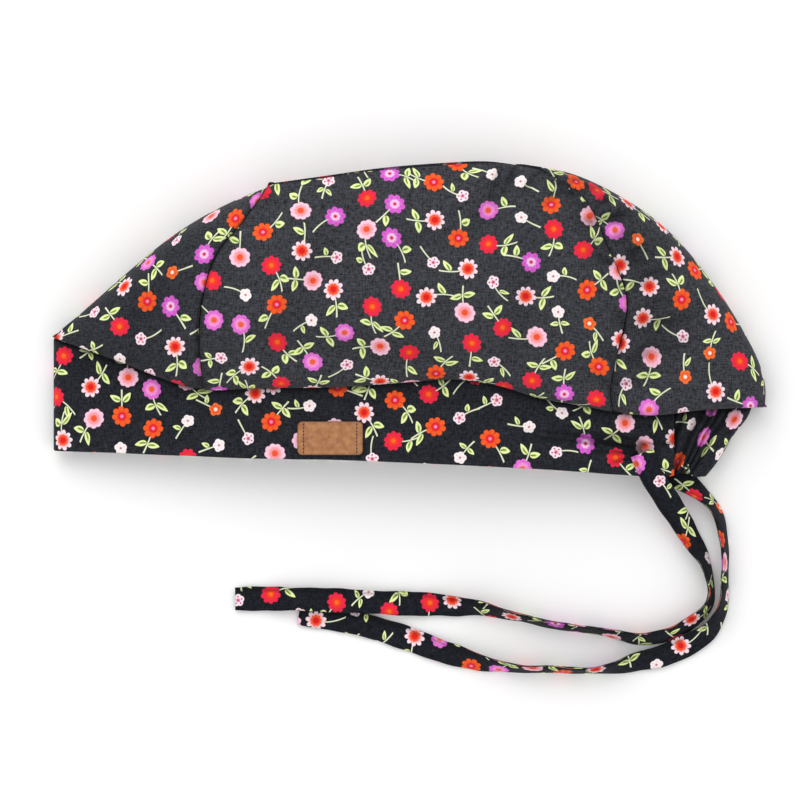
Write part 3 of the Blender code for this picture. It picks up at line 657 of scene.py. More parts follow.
def band_points():
    """Outer points of the band, columns from its end round the brow and rows upwards, and their shade."""
    radius = BROW_FOLD / 2
    places = radius + (BAND_END * CAP_LENGTH - radius) * np.linspace(1, 0, BAND_COLUMNS + 1)[:-1]
    columns, shades = [], []
    for x, layer, turn in fold_path(places, places[::-1], radius):
        if layer == 0:
            x = radius - radius * math.cos(turn)
        y = mouth_edge_y(x) + (band_upper_edge(x) - mouth_edge_y(x)) * crowded(BAND_ROWS)
        rough = crumple(np.full_like(y, x), y, *BAND_CRUMPLE)
        shade = crease_shade(x, y)
        if layer > 0:
            ridge, valley = ridge_height(x, y)
            z = band_top(x) + ridge + rough
            shade = shade + valley
        elif layer < 0:
            z = lift_under(x, y)
        else:
            z = radius + radius * math.sin(turn) + (band_top(radius) - BROW_FOLD) * max(0, math.sin(turn))
            z = z + lift_under(x, y) * max(0, -math.sin(turn)) * smooth((x - 0.3 * radius) / radius)
            z = z + rough * max(0, math.sin(turn))
        columns.append(np.column_stack([np.full_like(y, x), y, z]))
        shades.append(shade)
    return np.array(columns), np.clip(shades, 0, 1)


def gathers(share):
    """Height lost to the gathers of the elastic hem at a share of its length, from 0 to 1."""
    place = 10.4 * share + 0.34 * math.sin(5.1 * share * math.pi)
    return (0.5 - 0.5 * math.cos(2 * math.pi * place)) ** 1.3


def hem_points():
    """Outer points of the back hem, columns from its end round the nape and rows upwards, and their shade."""
    radius = NAPE_FOLD / 2
    start = HEM_START * CAP_LENGTH
    shares = np.linspace(0, 1, HEM_COLUMNS + 1)
    columns, shades = [], []
    up = crowded(HEM_ROWS)
    for share, layer, turn in fold_path(shares[:-1], shares[:-1][::-1], 1.0):
        x_low = start + (nape_edge_x(0.0) - start) * share
        low = mouth_edge_y(x_low)
        high = crease_y(x_low) + HEM_LAP
        y = low + (high - low) * up
        nape = nape_edge_x(y)
        depth = gathers(min(share, 1.0)) * (1 - 0.35 * up) * smooth((share - 0.15) / 0.15)
        ripple = HEM_RIPPLE * depth
        x = start + (nape - radius - start) * share
        shade = crease_shade(x, y)
        if layer > 0:
            z = hem_top(x) - ripple + crumple(x, y, *HEM_CRUMPLE)
            shade = shade + 0.75 * depth + np.exp(-np.abs(x - BAND_END * CAP_LENGTH) / 0.0012)
        elif layer < 0:
            past_band = smooth((x / CAP_LENGTH - HEM_CLEAR) / CARRY_RISE)
            z = (BAND_CLOTH + 3 * SEAM_GAP) * (1 - past_band) + np.maximum(lift_under(x, y), 0.7 * ripple)
        else:
            top = hem_top(nape - radius) - ripple * max(0, math.sin(turn))
            bottom = lift_under(x, y)
            x = nape - radius + radius * math.cos(turn)
            z = (top + bottom) / 2 + (top - bottom) / 2 * math.sin(turn)
        columns.append(np.column_stack([x, y, z]))
        shades.append(shade)
    return np.array(columns), np.clip(shades, 0, 1)


def grid_normals(points, outward):
    """Unit normals of a grid of points."""
    along = np.gradient(points, axis=0)
    across = np.gradient(points, axis=1)
    return unit(np.cross(along, across) * outward)


def grid_links():
    """Pairs of index slices for the neighbours in a grid: along, across and both diagonals."""
    every, head, tail = slice(None), slice(None, -1), slice(1, None)
    return (
        ((head, every), (tail, every)),
        ((every, head), (every, tail)),
        ((head, head), (tail, tail)),
        ((head, tail), (tail, head)),
    )


def laid_out(points, settled):
    """First guess at a panel's flat places: columns laid out from the middle row the way they run there.

    The first rows, up to settled, are rolled under; they are laid out the way that row runs.
    """
    steps = np.diff(points, axis=1)
    heading = steps[..., :2].copy()
    heading[:, :settled] = heading[:, settled : settled + 1]
    moves = unit(heading) * np.linalg.norm(steps, axis=-1, keepdims=True)
    run = np.concatenate([np.zeros_like(moves[:, :1]), np.cumsum(moves, axis=1)], axis=1)
    middle = points.shape[1] // 2
    return points[:, middle : middle + 1, :2] + run - run[:, middle : middle + 1]


def flatten(points, guess, rounds=300):
    """Places of a grid's points on the flat cloth it was cut from, near to a first guess."""
    flat = guess.copy()
    lengths = [np.linalg.norm(points[b] - points[a], axis=-1) for a, b in grid_links()]
    for _ in range(rounds):
        move = np.zeros_like(flat)
        count = np.zeros(flat.shape[:2])
        for (a, b), length in zip(grid_links(), lengths, strict=True):
            gap = flat[b] - flat[a]
            now = np.maximum(np.linalg.norm(gap, axis=-1), 1e-7)
            push = gap * ((1 - length / now) / 2)[..., None]
            move[a] += push
            move[b] -= push
            count[a] += 1
            count[b] += 1
        flat += move / count[..., None]
    return flat


def run_lengths(points, axis):
    """Distances walked along one axis of a grid."""
    steps = np.linalg.norm(np.diff(points, axis=axis), axis=-1)
    start = np.zeros_like(np.take(steps, [0], axis=axis))
    return np.concatenate([start, np.cumsum(steps, axis=axis)], axis=axis)


def edge_distance(points):
    """Distance of each point of a grid from the nearest edge of the cloth."""
    along = run_lengths(points, 0)
    across = run_lengths(points, 1)
    both = [along, along[-1:] - along, across, across[:, -1:] - across]
    return np.min(both, axis=0)


def surface_area(points):
    one = np.cross(points[1:, :-1] - points[:-1, :-1], points[:-1, 1:] - points[:-1, :-1])
    two = np.cross(points[1:, :-1] - points[1:, 1:], points[:-1, 1:] - points[1:, 1:])
    return (np.linalg.norm(one, axis=-1).sum() + np.linalg.norm(two, axis=-1).sum()) / 2


# The print and its colours

WHITENESS = 0.93  # share of the light that the whitest cloth throws back
WEAVE = 0.36  # two threads of the cloth, in millimetres
SLUBS = ((0.40, 1.7, 1.0), (1.7, 0.40, 1.0))  # how drawn out the thick places of the threads are, both ways


def linear(red, green, blue):
    """A colour given as it shows on a screen, from 0 to 255, in the linear values of a shader."""
    shares = [c / 255 for c in (red, green, blue)]
    return *(WHITENESS * (((c + 0.055) / 1.055) ** 2.4 if c > 0.04 else c / 12.92) for c in shares), 1.0


# Kinds of flower. upto is the share of all flowers up to this kind; petals is their number, radius is in
# millimetres, notch is how deep the petals part, ring and eye are the radii of the inner colours and dots how
# strongly the petals are dotted, as shares. gap is below 1 for narrow gaps, and star is how far the inner
# colour runs out between the petals.
FLOWERS = table(
    "upto petals radius notch gap ring eye dots star",
    (0.16, 9, 4.2, 0.40, 0.62, 0.56, 0.32, 0.0, 0.7),
    (0.30, 8, 4.1, 0.28, 0.60, 0.42, 0.15, 0.0, 1.0),
    (0.45, 9, 4.0, 0.24, 0.70, 0.50, 0.24, 0.0, 0.6),
    (0.53, 9, 4.1, 0.16, 0.80, 0.60, 0.30, 0.0, 0.3),
    (0.62, 9, 4.2, 0.14, 0.80, 0.60, 0.32, 0.0, 0.2),
    (0.69, 8, 4.2, 0.30, 0.60, 0.42, 0.18, 0.0, 0.4),
    (0.81, 5, 2.6, 0.20, 0.80, 0.30, 0.14, 1.0, 0.0),
    (0.93, 5, 2.6, 0.20, 0.80, 0.24, 0.13, 0.2, 0.0),
    (1.00, 5, 2.7, 0.24, 0.80, 0.52, 0.28, 0.2, 0.5),
)
FLOWER_SCALE = {"petals": 10.0, "radius": 10.0}  # brings these columns below 1, as a colour ramp needs
PETALS = [(255, 226, 236), (248, 96, 36), (236, 40, 72), (226, 112, 212), (255, 204, 224), (216, 92, 208),
          (255, 232, 240), (255, 242, 242), (248, 116, 48)]
RINGS = [(250, 92, 54), (226, 30, 44), (246, 52, 40), (250, 150, 214), (255, 160, 166), (255, 206, 238),
         (228, 120, 150), (244, 204, 206), (240, 84, 34)]
EYES = [(228, 30, 30), (255, 150, 204), (250, 112, 34), (244, 98, 48), (244, 84, 44), (208, 30, 88),
        (192, 54, 100), (150, 66, 66), (255, 236, 222)]
LEAF = linear(238, 253, 170)
LEAF_SHADE = linear(104, 134, 58)
STEM = linear(232, 238, 202)
DOT = linear(170, 50, 96)
# The cloth's dark ground, and the same ground lightened by painted light, most on the crown
GROUND_DEEP = linear(24, 27, 34)
GROUND_LIT = linear(58, 59, 64)
FOLD_SHADE = linear(8, 8, 12)


# Node trees


def new_node(tree, kind, inputs=(), **settings):
    """A shader node with its settings, and its inputs in order or by name."""
    made = tree.nodes.new("ShaderNode" + kind)
    for name, value in settings.items():
        setattr(made, name, value)
    feed(made, inputs)
    return made


def feed(node, inputs):
    """Gives a node's inputs numbers, colours or what other nodes send, in order or by name."""
    for place, value in inputs.items() if isinstance(inputs, dict) else enumerate(inputs):
        if isinstance(value, Wire):
            node.id_data.links.new(value.socket, node.inputs[place])
        else:
            node.inputs[place].default_value = value


def wires(node):
    return [Wire(socket) for socket in node.outputs]


def wire(tree, kind, inputs=(), output=0, **settings):
    """What one output of a new node sends."""
    return Wire(new_node(tree, kind, inputs, **settings).outputs[output])


class Wire:
    """What a node sends, to reckon with as with a number."""

    def __init__(self, socket):
        self.socket = socket

    def maths(self, operation, *others, clamp=False):
        return wire(self.socket.id_data, "Math", (self, *others), operation=operation, use_clamp=clamp)

    def vector(self, operation, *others):
        return wire(self.socket.id_data, "VectorMath", (self, *others), operation=operation)

    def parts(self):
        return wires(new_node(self.socket.id_data, "SeparateXYZ", (self,)))

    def __rsub__(self, other):
        return self.maths("MULTIPLY_ADD", -1.0, other)


OPERATORS = {"add": "ADD", "radd": "ADD", "sub": "SUBTRACT", "mul": "MULTIPLY", "rmul": "MULTIPLY",
             "truediv": "DIVIDE", "pow": "POWER", "gt": "GREATER_THAN", "lt": "LESS_THAN", "abs": "ABSOLUTE"}
for operator, operation in OPERATORS.items():
    setattr(Wire, f"__{operator}__", functools.partialmethod(Wire.maths, operation))


def mixed(tree, share, first, second, blend="MIX"):
    inputs = {0: share, 6: first, 7: second}
    return wire(tree, "Mix", inputs, 2, data_type="RGBA", blend_type=blend)


def dimmed(tree, colour, value):
    grey = wire(tree, "CombineXYZ", (value, value, value))
    return mixed(tree, 1.0, colour, grey, "MULTIPLY")


def ramp(tree, place, stops, interpolation="LINEAR"):
    """Colour and alpha at a place on a colour ramp with (place, colour) stops."""
    made = new_node(tree, "ValToRGB", (place,))
    made.color_ramp.interpolation = interpolation
    elements = made.color_ramp.elements
    elements.remove(elements[1])
    elements[0].position, elements[0].color = stops[0]
    for position, colour in stops[1:]:
        elements.new(position).color = colour
    return wires(made)


def by_kind(tree, kind, colours):
    """The colour and alpha that belong to a kind of flower."""
    starts = [0.0, *FLOWERS["upto"][:-1]]
    return ramp(tree, kind, list(zip(starts, colours, strict=True)), "CONSTANT")


def looked_up(tree, kind, *names):
    """Four columns of FLOWERS at a kind of flower, over FLOWER_SCALE."""
    columns = [FLOWERS[name] / FLOWER_SCALE.get(name, 1) for name in names]
    colour, alpha = by_kind(tree, kind, list(zip(*columns)))
    return [*colour.parts(), alpha]


def noise(tree, place, scale, detail=2.0, roughness=0.5):
    return wire(tree, "TexNoise", {"Vector": place, "Scale": scale, "Detail": detail, "Roughness": roughness})


def turned(tree, place, angle):
    return wire(tree, "VectorRotate", {"Vector": place, "Angle": angle}, rotation_type="Z_AXIS")


def attribute(tree, name):
    return wire(tree, "Attribute", output="Fac", attribute_name=name)


def edge_mask(depth, softness):
    """1 where depth is above zero, with a soft edge."""
    return depth.maths("MULTIPLY_ADD", 1 / softness, 0.5, clamp=True)


def motif_group():
    """One flower with its stem and leaves in every cell of a square grid."""
    tree = bpy.data.node_groups.new("motif", "ShaderNodeTree")
    sockets = (("Place", "INPUT", "Vector"), ("Shift", "INPUT", "Vector"), ("Seed", "INPUT", "Float"),
               ("Green", "OUTPUT", "Color"), ("Green mask", "OUTPUT", "Float"),
               ("Flower", "OUTPUT", "Color"), ("Flower mask", "OUTPUT", "Float"))
    for name, way, kind in sockets:
        tree.interface.new_socket(name, in_out=way, socket_type="NodeSocket" + kind)
    on_cloth, shift, seed = wires(tree.nodes.new("NodeGroupInput"))[:3]

    cell = on_cloth.vector("MULTIPLY", (1 / CELL, 1 / CELL, 0)).vector("ADD", shift)
    number = cell.vector("FLOOR")
    local = cell.vector("SUBTRACT", number).vector("SUBTRACT", (0.5, 0.5, 0))
    local = local.vector("MULTIPLY", (CELL, CELL, 0))
    number = number.vector("ADD", wire(tree, "CombineXYZ", (0.0, 0.0, seed)))

    def dice(start):
        thrown = number.vector("ADD", (start, start, start))
        return wire(tree, "TexWhiteNoise", {"Vector": thrown}, "Color", noise_dimensions="3D").parts()

    stray_x, stray_y, turn = dice(0.13)
    kind, habit, bend = dice(31.37)
    stray = wire(tree, "CombineXYZ", (stray_x, stray_y, 0.5)).vector("SUBTRACT", (0.5, 0.5, 0.5))
    stray = stray.vector("MULTIPLY", (2 * SCATTER, 2 * SCATTER, 0))
    x, y, _ = turned(tree, local.vector("SUBTRACT", stray), turn * (2 * math.pi)).parts()

    # The flower, a little off the middle of the cell to make room for its stem
    petals, radius, notch, gap = looked_up(tree, kind, "petals", "radius", "notch", "gap")
    petals = (petals * FLOWER_SCALE["petals"]).maths("ROUND")
    radius = radius * FLOWER_SCALE["radius"]
    ring_size, eye_size, dots, star = looked_up(tree, kind, "ring", "eye", "dots", "star")
    x = radius * 0.5 + x
    distance = (x * x + y * y).maths("SQRT")
    angle = y.maths("ARCTAN2", x)
    lobe = abs((angle * 0.5 * petals + habit * 3.0).maths("COSINE"))
    part = 1.0 - lobe**gap
    uneven = (angle * 2.0 + habit * 20.0).maths("SINE") * 0.045 + 1.0
    flower_mask = edge_mask((1.0 - notch * part) * radius * uneven - distance, 0.22)
    share = distance / radius

    colours = [[linear(*colour) for colour in column] for column in (PETALS, RINGS, EYES)]
    petal, ring, eye = [by_kind(tree, kind, column)[0] for column in colours]
    vein = part**1.5 * (1.35 - share)
    petal = mixed(tree, vein.maths("MULTIPLY", star, clamp=True), petal, ring)
    dotted = edge_mask(0.13 - abs(share - 0.60), 0.10) * edge_mask(lobe - 0.90, 0.12)
    petal = mixed(tree, dotted * dots, petal, DOT)
    flower = mixed(tree, edge_mask(lobe * 0.10 + ring_size - 0.05 - share, 0.17), petal, ring)
    flower = mixed(tree, edge_mask(eye_size - share, 0.16), flower, eye)

    # The stem, bent to one side
    size = radius * 0.17 + 0.30
    along = x / (radius * 1.40 + 5.2)
    off = y - along * x * ((bend - 0.5) * 0.95)
    beside = abs(off)
    stem = edge_mask(along * 0.14 + 0.20 - beside, 0.16) * (x > 0.0) * (along < 1.0)

    # The leaves, at most one on each side
    side = off.maths("SIGN")
    two = (habit * (side * 2.3 + 5.1)).maths("FRACT")
    lean = two * 1.25 + 0.85
    ahead = x - (radius + size * (two * 1.5 + 2.1))
    aside = beside - 0.45
    cosine, sine = lean.maths("COSINE"), lean.maths("SINE")
    u = ahead * cosine + aside * sine
    v = aside * cosine - ahead * sine
    inner = (u / (size * 4.7)).maths("MAXIMUM", 0.0).maths("MINIMUM", 1.0)
    v = v + (inner * inner * (size * 0.9) - size * 0.2)
    half = inner**0.55 * (1.0 - inner) ** 0.85 * (size * 3.2)
    told = (bend * (side * 1.7 + 4.3)).maths("FRACT")
    leaf = edge_mask(half - abs(v), 0.20) * (inner > 0.0) * (inner < 1.0)
    leaf = leaf * (told > radius * -0.20 + 1.08)
    rib = edge_mask(half * 0.30 - abs(v - half * 0.10), 0.45) * edge_mask(0.62 - inner, 0.25)

    green = mixed(tree, leaf, STEM, mixed(tree, rib, LEAF, LEAF_SHADE))
    feed(tree.nodes.new("NodeGroupOutput"), (green, stem.maths("MAXIMUM", leaf), flower, flower_mask))
    return tree


def print_colour(tree, place, colour):
    """Colour of the cloth at a place in millimetres, with its print, and how much of it is print."""
    motif = motif_group()
    layers = []
    for number, shift in enumerate(((0, 0, 0), (0.5, 0, 0), (0.25, 0.5, 0), (0.75, 0.5, 0))):
        inputs = {"Place": place, "Shift": shift, "Seed": 3.0 + 11.0 * number}
        layers.append(wires(new_node(tree, "Group", inputs, node_tree=motif)))
    prints = [layer[:2] for layer in layers] + [layer[2:] for layer in layers]
    cover = prints[0][1]
    for printed, mask in prints:
        colour = mixed(tree, mask, colour, printed)
        cover = cover.maths("MAXIMUM", mask)
    return colour, cover


def new_material(name):
    made = bpy.data.materials.new(name)
    made.use_nodes = True
    return made, made.node_tree, made.node_tree.nodes["Principled BSDF"]


def cloth_place(tree):
    """Place on the flat cloth, in millimetres."""
    return wire(tree, "UVMap", uv_map="cloth").vector("MULTIPLY", (1000.0, 1000.0, 0.0))


def bumped(tree, height, strength, distance):
    return wire(tree, "Bump", {"Strength": strength, "Distance": distance, "Height": height})


def printed_cotton():
    made, tree, shader = new_material("printed_cotton_cloth")
    flat = cloth_place(tree)
    x, y, _ = flat.parts()
    thread = 2 * math.pi / WEAVE
    weave = (x * thread).maths("SINE") * (y * thread).maths("SINE")
    along, across = [noise(tree, flat.vector("MULTIPLY", run), 1.0, 3.0, 0.6) for run in SLUBS]
    lint = along + across - 1.0
    cloudy = noise(tree, flat, 0.12, 3.0)
    # Painted light: the ground is lighter where a piece carries more of it, and mottled at random
    faded = cloudy * 0.5 + (attribute(tree, "fade") - 0.25)
    ground = mixed(tree, faded.maths("ADD", 0.0, clamp=True), GROUND_DEEP, GROUND_LIT)
    ground = dimmed(tree, ground, (weave * 0.06 + (lint * 3.1 + 1.0)).maths("MAXIMUM", 0.25))
    colour, cover = print_colour(tree, turned(tree, flat, math.radians(PRINT_TURN)), ground)
    colour = dimmed(tree, colour, (weave * 0.04 + lint * 0.35) * cover + 1.0)
    colour = mixed(tree, attribute(tree, "shade") * 0.85, colour, FOLD_SHADE)
    colour = mixed(tree, attribute(tree, "inside") * 0.78, colour, GROUND_DEEP)
    relief = weave * 0.035 + lint * 0.05 + noise(tree, flat, 0.42, 3.0) * 0.40
    feed(shader, {
        "Base Color": colour,
        "Roughness": cloudy * 0.08 + (cover * -0.10 + 0.88),
        "Specular IOR Level": 0.14,
        "Sheen Weight": 0.05,
        "Sheen Roughness": 0.45,
        "Normal": bumped(tree, relief, 0.55, 0.001),
    })
    return made


def tan_leather():
    made, tree, shader = new_material("tan_leather_patch")
    flat = cloth_place(tree)
    pores = noise(tree, flat, 2.6, 3.0, 0.6)
    tones = [(0.30, linear(150, 92, 52)), (0.72, linear(206, 146, 92))]
    colour = ramp(tree, noise(tree, flat, 0.35, 4.0, 0.6), tones)[0]
    colour = mixed(tree, pores * 0.45, colour, linear(120, 70, 38))
    colour = mixed(tree, attribute(tree, "edge") * 0.75, colour, linear(70, 38, 22))
    cells = wire(tree, "TexVoronoi", {"Vector": flat, "Scale": 1.9}, "Distance", feature="DISTANCE_TO_EDGE")
    grain = pores * 0.4 + cells.maths("MINIMUM", 0.2)
    normal = bumped(tree, grain, 0.4, 0.0003)
    feed(shader, {"Base Color": colour, "Roughness": pores * 0.25 + 0.42, "Normal": normal})
    return made


def sewing_thread():
    made, tree, shader = new_material("dark_thread")
    place = wire(tree, "TexCoord", output="Object")
    twist = wire(tree, "TexWave", {"Vector": place, "Scale": 900.0, "Distortion": 1.0}, "Fac")
    tone = ramp(tree, twist, [(0.0, linear(24, 22, 24)), (1.0, linear(58, 50, 48))])[0]
    feed(shader, {"Base Color": tone, "Roughness": twist * 0.15 + 0.55})
    return made


def white_floor():
    made, tree, shader = new_material("studio_floor")
    tone = noise(tree, wire(tree, "TexCoord", output="Object"), 6.0)
    colour = ramp(tree, tone, [(0.2, (0.94, 0.94, 0.94, 1)), (0.8, (0.96, 0.96, 0.96, 1))])[0]
    feed(shader, {"Base Color": colour, "Roughness": 0.9, "Specular IOR Level": 0.1})
    return made


# Meshes


def add_object(name, data):
    made = bpy.data.objects.new(name, data)
    bpy.context.scene.collection.objects.link(made)
    return made


def add_mesh(name, vertices, faces, look, flat=None, **attributes):
    """An object with its outward normals, place on the flat cloth and other values at each point."""
    mesh = bpy.data.meshes.new(name)
    mesh.from_pydata([tuple(v) for v in vertices], [], faces)
    if flat is not None:
        layer = mesh.uv_layers.new(name="cloth")
        index = np.empty(len(mesh.loops), np.int32)
        mesh.loops.foreach_get("vertex_index", index)
        layer.data.foreach_set("uv", np.asarray(flat, np.float32)[index].ravel())
    for label, values in attributes.items():
        stored = mesh.attributes.new(label, "FLOAT", "POINT")
        stored.data.foreach_set("value", np.asarray(values, np.float32).ravel())
    body = bmesh.new()
    body.from_mesh(mesh)
    bmesh.ops.recalc_face_normals(body, faces=body.faces)
    if body.calc_volume(signed=True) < 0:
        bmesh.ops.reverse_faces(body, faces=body.faces)
    body.to_mesh(mesh)
    body.free()
    mesh.shade_smooth()
    mesh.materials.append(look)
    return add_object(name, mesh)


def add_cloth(name, outer, normals, wall, look, flat, fade, shade):
    """A closed wall of cloth under a grid of outer points, thinned round at its edges."""
    columns, rows = outer.shape[:2]
    away = edge_distance(outer)
    round_edge = np.clip(1 - away / (wall / 2), 0, 1)
    thickness = wall * np.sqrt(np.maximum(1 - round_edge**2, 0.03))[..., None]
    middle = outer - normals * wall / 2
    front = (middle + normals * thickness / 2).reshape(-1, 3)
    back = (middle - normals * thickness / 2).reshape(-1, 3)
    front[:, 2] = np.maximum(front[:, 2], 0)
    back[:, 2] = np.maximum(back[:, 2], 0.3 * wall)
    below = columns * rows
    number = np.arange(below).reshape(columns, rows)
    quads = np.stack([number[:-1, :-1], number[1:, :-1], number[1:, 1:], number[:-1, 1:]], -1).reshape(-1, 4)
    faces = quads.tolist() + (below + quads[:, ::-1]).tolist()
    rim = np.concatenate([number[:-1, 0], number[-1, :-1], number[:0:-1, -1], number[0, :0:-1]])
    following = np.roll(rim, -1)
    faces += np.stack([rim, below + rim, below + following, following], -1).tolist()
    # Share of painted light on the ground at each point; shade is painted shade
    fade = np.broadcast_to(fade, (columns, rows))
    flat = np.tile((flat + CUT_FROM[name]).reshape(-1, 2), (2, 1))
    return add_mesh(name, np.concatenate([front, back]), faces, look, flat, fade=[fade, fade],
                    shade=[shade, shade], inside=np.repeat([0.0, 1.0], below))


def loft_faces(count, sides, first=0):
    """Faces of a closed body through rings of points, with flat ends."""
    number = first + np.arange(count * sides).reshape(count, sides)
    after = np.roll(number, -1, axis=1)
    faces = np.stack([number[:-1], after[:-1], after[1:], number[1:]], -1).reshape(-1, 4).tolist()
    return faces + [number[0].tolist(), number[-1, ::-1].tolist()]


def add_loft(name, sections, look, flat, **attributes):
    faces = loft_faces(*sections.shape[:2])
    return add_mesh(name, sections.reshape(-1, 3), faces, look, flat.reshape(-1, 2), **attributes)


# Ties


def above_band(x):
    """Height of a tie that lies on the band's upper layer."""
    return band_top(x) + SEAM_GAP


def above_hem(x):
    """Height of a tie that lies inside the mouth, on the lower layers of band and hem."""
    return np.full_like(x, BAND_CLOTH + HEM_CLOTH + 0.0014)


def half_height(turn):
    """Half the height of a tie's section, turned on to its edge by an angle."""
    return TIE_WIDTH / 2 * np.sin(turn) + TIE_WALL / 2 * np.cos(turn)


def tie_centre(route, rise_at):
    """Centre points and turns along a tie, evenly spaced on a smooth curve through its route."""
    end_x = TIE_PLACE * CAP_LENGTH
    turn = np.radians(route["turn"])
    x = end_x + route["along"]
    y = mouth_edge_y(end_x) + route["away"]
    z = route["rise"] * rise_at(x) + half_height(turn)
    steps = np.linalg.norm(np.diff(np.column_stack([x, y, z]), axis=0), axis=1)
    places = np.concatenate([[0], np.cumsum(steps)])
    at = np.linspace(0, places[-1], TIE_STEPS + 1)
    x, y, z, turn = [read(places, values, at) for values in (x, y, z, turn)]
    return np.column_stack([x, y, np.maximum(z, half_height(turn))]), turn


def tie_frame(centre, turn):
    """Unit directions across the width and through the thickness of a tie."""
    heading = unit(np.gradient(centre, axis=0))
    level = unit(np.cross(heading, (0, 0, 1)))
    upward = np.cross(level, heading)
    wide = level * np.cos(turn)[:, None] + upward * np.sin(turn)[:, None]
    return wide, np.cross(heading, wide)


def make_tie(name, node, route, rise_at, look, seed):
    """A flat tie of folded cloth, laid on the floor and turned on to its edge where it twists."""
    centre, turn = tie_centre(route, rise_at)
    wide, thick = tie_frame(centre, turn)
    run = run_lengths(centre, 0)
    angles = (np.arange(TIE_SIDES) + 0.5) * 2 * np.pi / TIE_SIDES
    u, v = [np.sign(c) * np.abs(c) ** p for c, p in zip((np.cos(angles), np.sin(angles)), TIE_FLAT)]
    dice = np.random.default_rng(seed)
    waves = [np.sin(run * rate + phase) for rate, phase in zip(TIE_WAVES, dice.uniform(0, 6, 3))]
    width = TIE_WIDTH / 2 * (1 + 0.03 * waves[0] + 0.02 * waves[2])
    cup = 0.0005 * waves[1] + 0.0003 * waves[0]
    across = width[:, None] * u[None]
    pressed = 1 - 0.25 * np.exp(-(((u - TIE_SEAM) / 0.10) ** 2))
    through = TIE_WALL / 2 * v[None] * pressed[None] + cup[:, None] * (u[None] ** 2 - 0.5)
    sections = centre[:, None] + wide[:, None] * across[..., None] + thick[:, None] * through[..., None]
    sections[..., 2] = np.maximum(sections[..., 2], 0.0001)
    around = np.concatenate([[0], np.cumsum(np.hypot(np.diff(u * TIE_WIDTH / 2), np.diff(v * TIE_WALL / 2)))])
    flat = np.dstack(np.broadcast_arrays(run[:, None] + seed, around[None] + 0.037 * seed))
    # Painted shade in the groove of the pressed seam and along the tie's folded edges
    seam_and_edge_shade = 0.55 * np.exp(-(((u - TIE_SEAM) / 0.12) ** 2)) + 0.35 * np.exp(-((1 - np.abs(u)) / 0.12))
    shade = np.broadcast_to(seam_and_edge_shade[None], across.shape)
    # The ties get none of the painted light, so their ground stays darkest
    made = add_loft(name, place(sections), look, flat, fade=np.zeros(across.shape), shade=shade)
    finish_piece(made, node)
    path = place(centre)[::4].tolist()


# The cap


def place(points):
    """Points of the cap's own frame in the row frame."""
    return points + SHIFT


def finish_piece(made, node):
    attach(made, "root")
    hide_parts(node)


def finish_sheet(made, node, points, flat):
    """Attaches a sheet of cloth and hides its CAD part; the area of its outer surface, at most its flat size,
    is worked out but not used.
    """
    finish_piece(made, node)
    area = min(surface_area(points), flat[0] * flat[1])


def spread(flat):
    """Width and length of the smallest box around a flat cut, in metres, rounded to a millimetre."""
    size = flat.reshape(-1, 2).max(axis=0) - flat.reshape(-1, 2).min(axis=0)
    return tuple(round(float(s), 3) for s in size)


def front_fade(x):
    """How much painted light lightens the crown's ground: less so towards the brow."""
    return 1 - 0.5 * smooth((0.32 - x / CAP_LENGTH) / 0.22)


def unrolled_strip(strip):
    """First guess at the strip's flat places: seen from above at its upper seam, and run on across it."""
    across = run_lengths(strip, 1)
    outward = unit(strip[:, STRIP_QUARTER, :2] - strip[:, 0, :2], 1e-6)
    kernel = np.ones(15) / 15
    padded = np.pad(outward, ((7, 7), (0, 0)), mode="edge")
    outward = unit(np.column_stack([np.convolve(padded[:, k], kernel, "valid") for k in (0, 1)]))
    return strip[:, :1, :2] + outward[:, None] * across[..., None]


# A panel's left, top and right edges, and the strip's stations along them
SEAMS = (
    ((0, slice(None)), slice(0, PANEL_ROWS + 1)),
    ((slice(None), -1), slice(PANEL_ROWS, PANEL_ROWS + PANEL_COLUMNS + 1)),
    ((-1, slice(None, None, -1)), slice(-PANEL_ROWS - 1, None)),
)
UNDER = np.concatenate([np.ones(len(LAPS)), np.sin(ROLL_TURNS)])  # shade of the rows that are turned under
UPWARD = np.array([0.0, 0.0, 1.0])


def make_panel(upper, strip, strip_normals, look):
    """A side panel, sewn to the strip along three edges. The fourth edge of the upper one is turned under."""
    panel, shade = side_panel(upper)
    normals = grid_normals(panel, 1 if upper else -1)
    seam = 0 if upper else -1
    for edge, rows in SEAMS:
        panel[edge] = strip[rows, seam]
        normals[edge] = strip_normals[rows, seam] = unit(normals[edge] + strip_normals[rows, seam])
    settled = 0
    if upper:
        lap = turned_edge(panel[:, 0], panel[:, LAP_ROW], UPWARD, np.ones(len(panel)))
        shade += EDGE_SHADE * np.exp(-run_lengths(panel, 1) / EDGE_SHADE_REACH)
        shade = np.concatenate([np.tile(UNDER, (len(shade), 1)), shade], axis=1)
        panel = np.concatenate([lap.transpose(1, 0, 2), panel], axis=1)
        normals = grid_normals(panel, 1)
        settled = len(UNDER) + 8
    side, rests_on = ("left", "crown_strip") if upper else ("right", "floor")
    flat = flatten(panel, laid_out(panel, settled))
    made = add_cloth("side_panel_" + side, place(panel), normals, CLOTH, look, flat,
                     front_fade(panel[..., 0]), np.clip(shade, 0, 1))
    finish_sheet(made, "crown_side_" + side, panel, spread(flat))


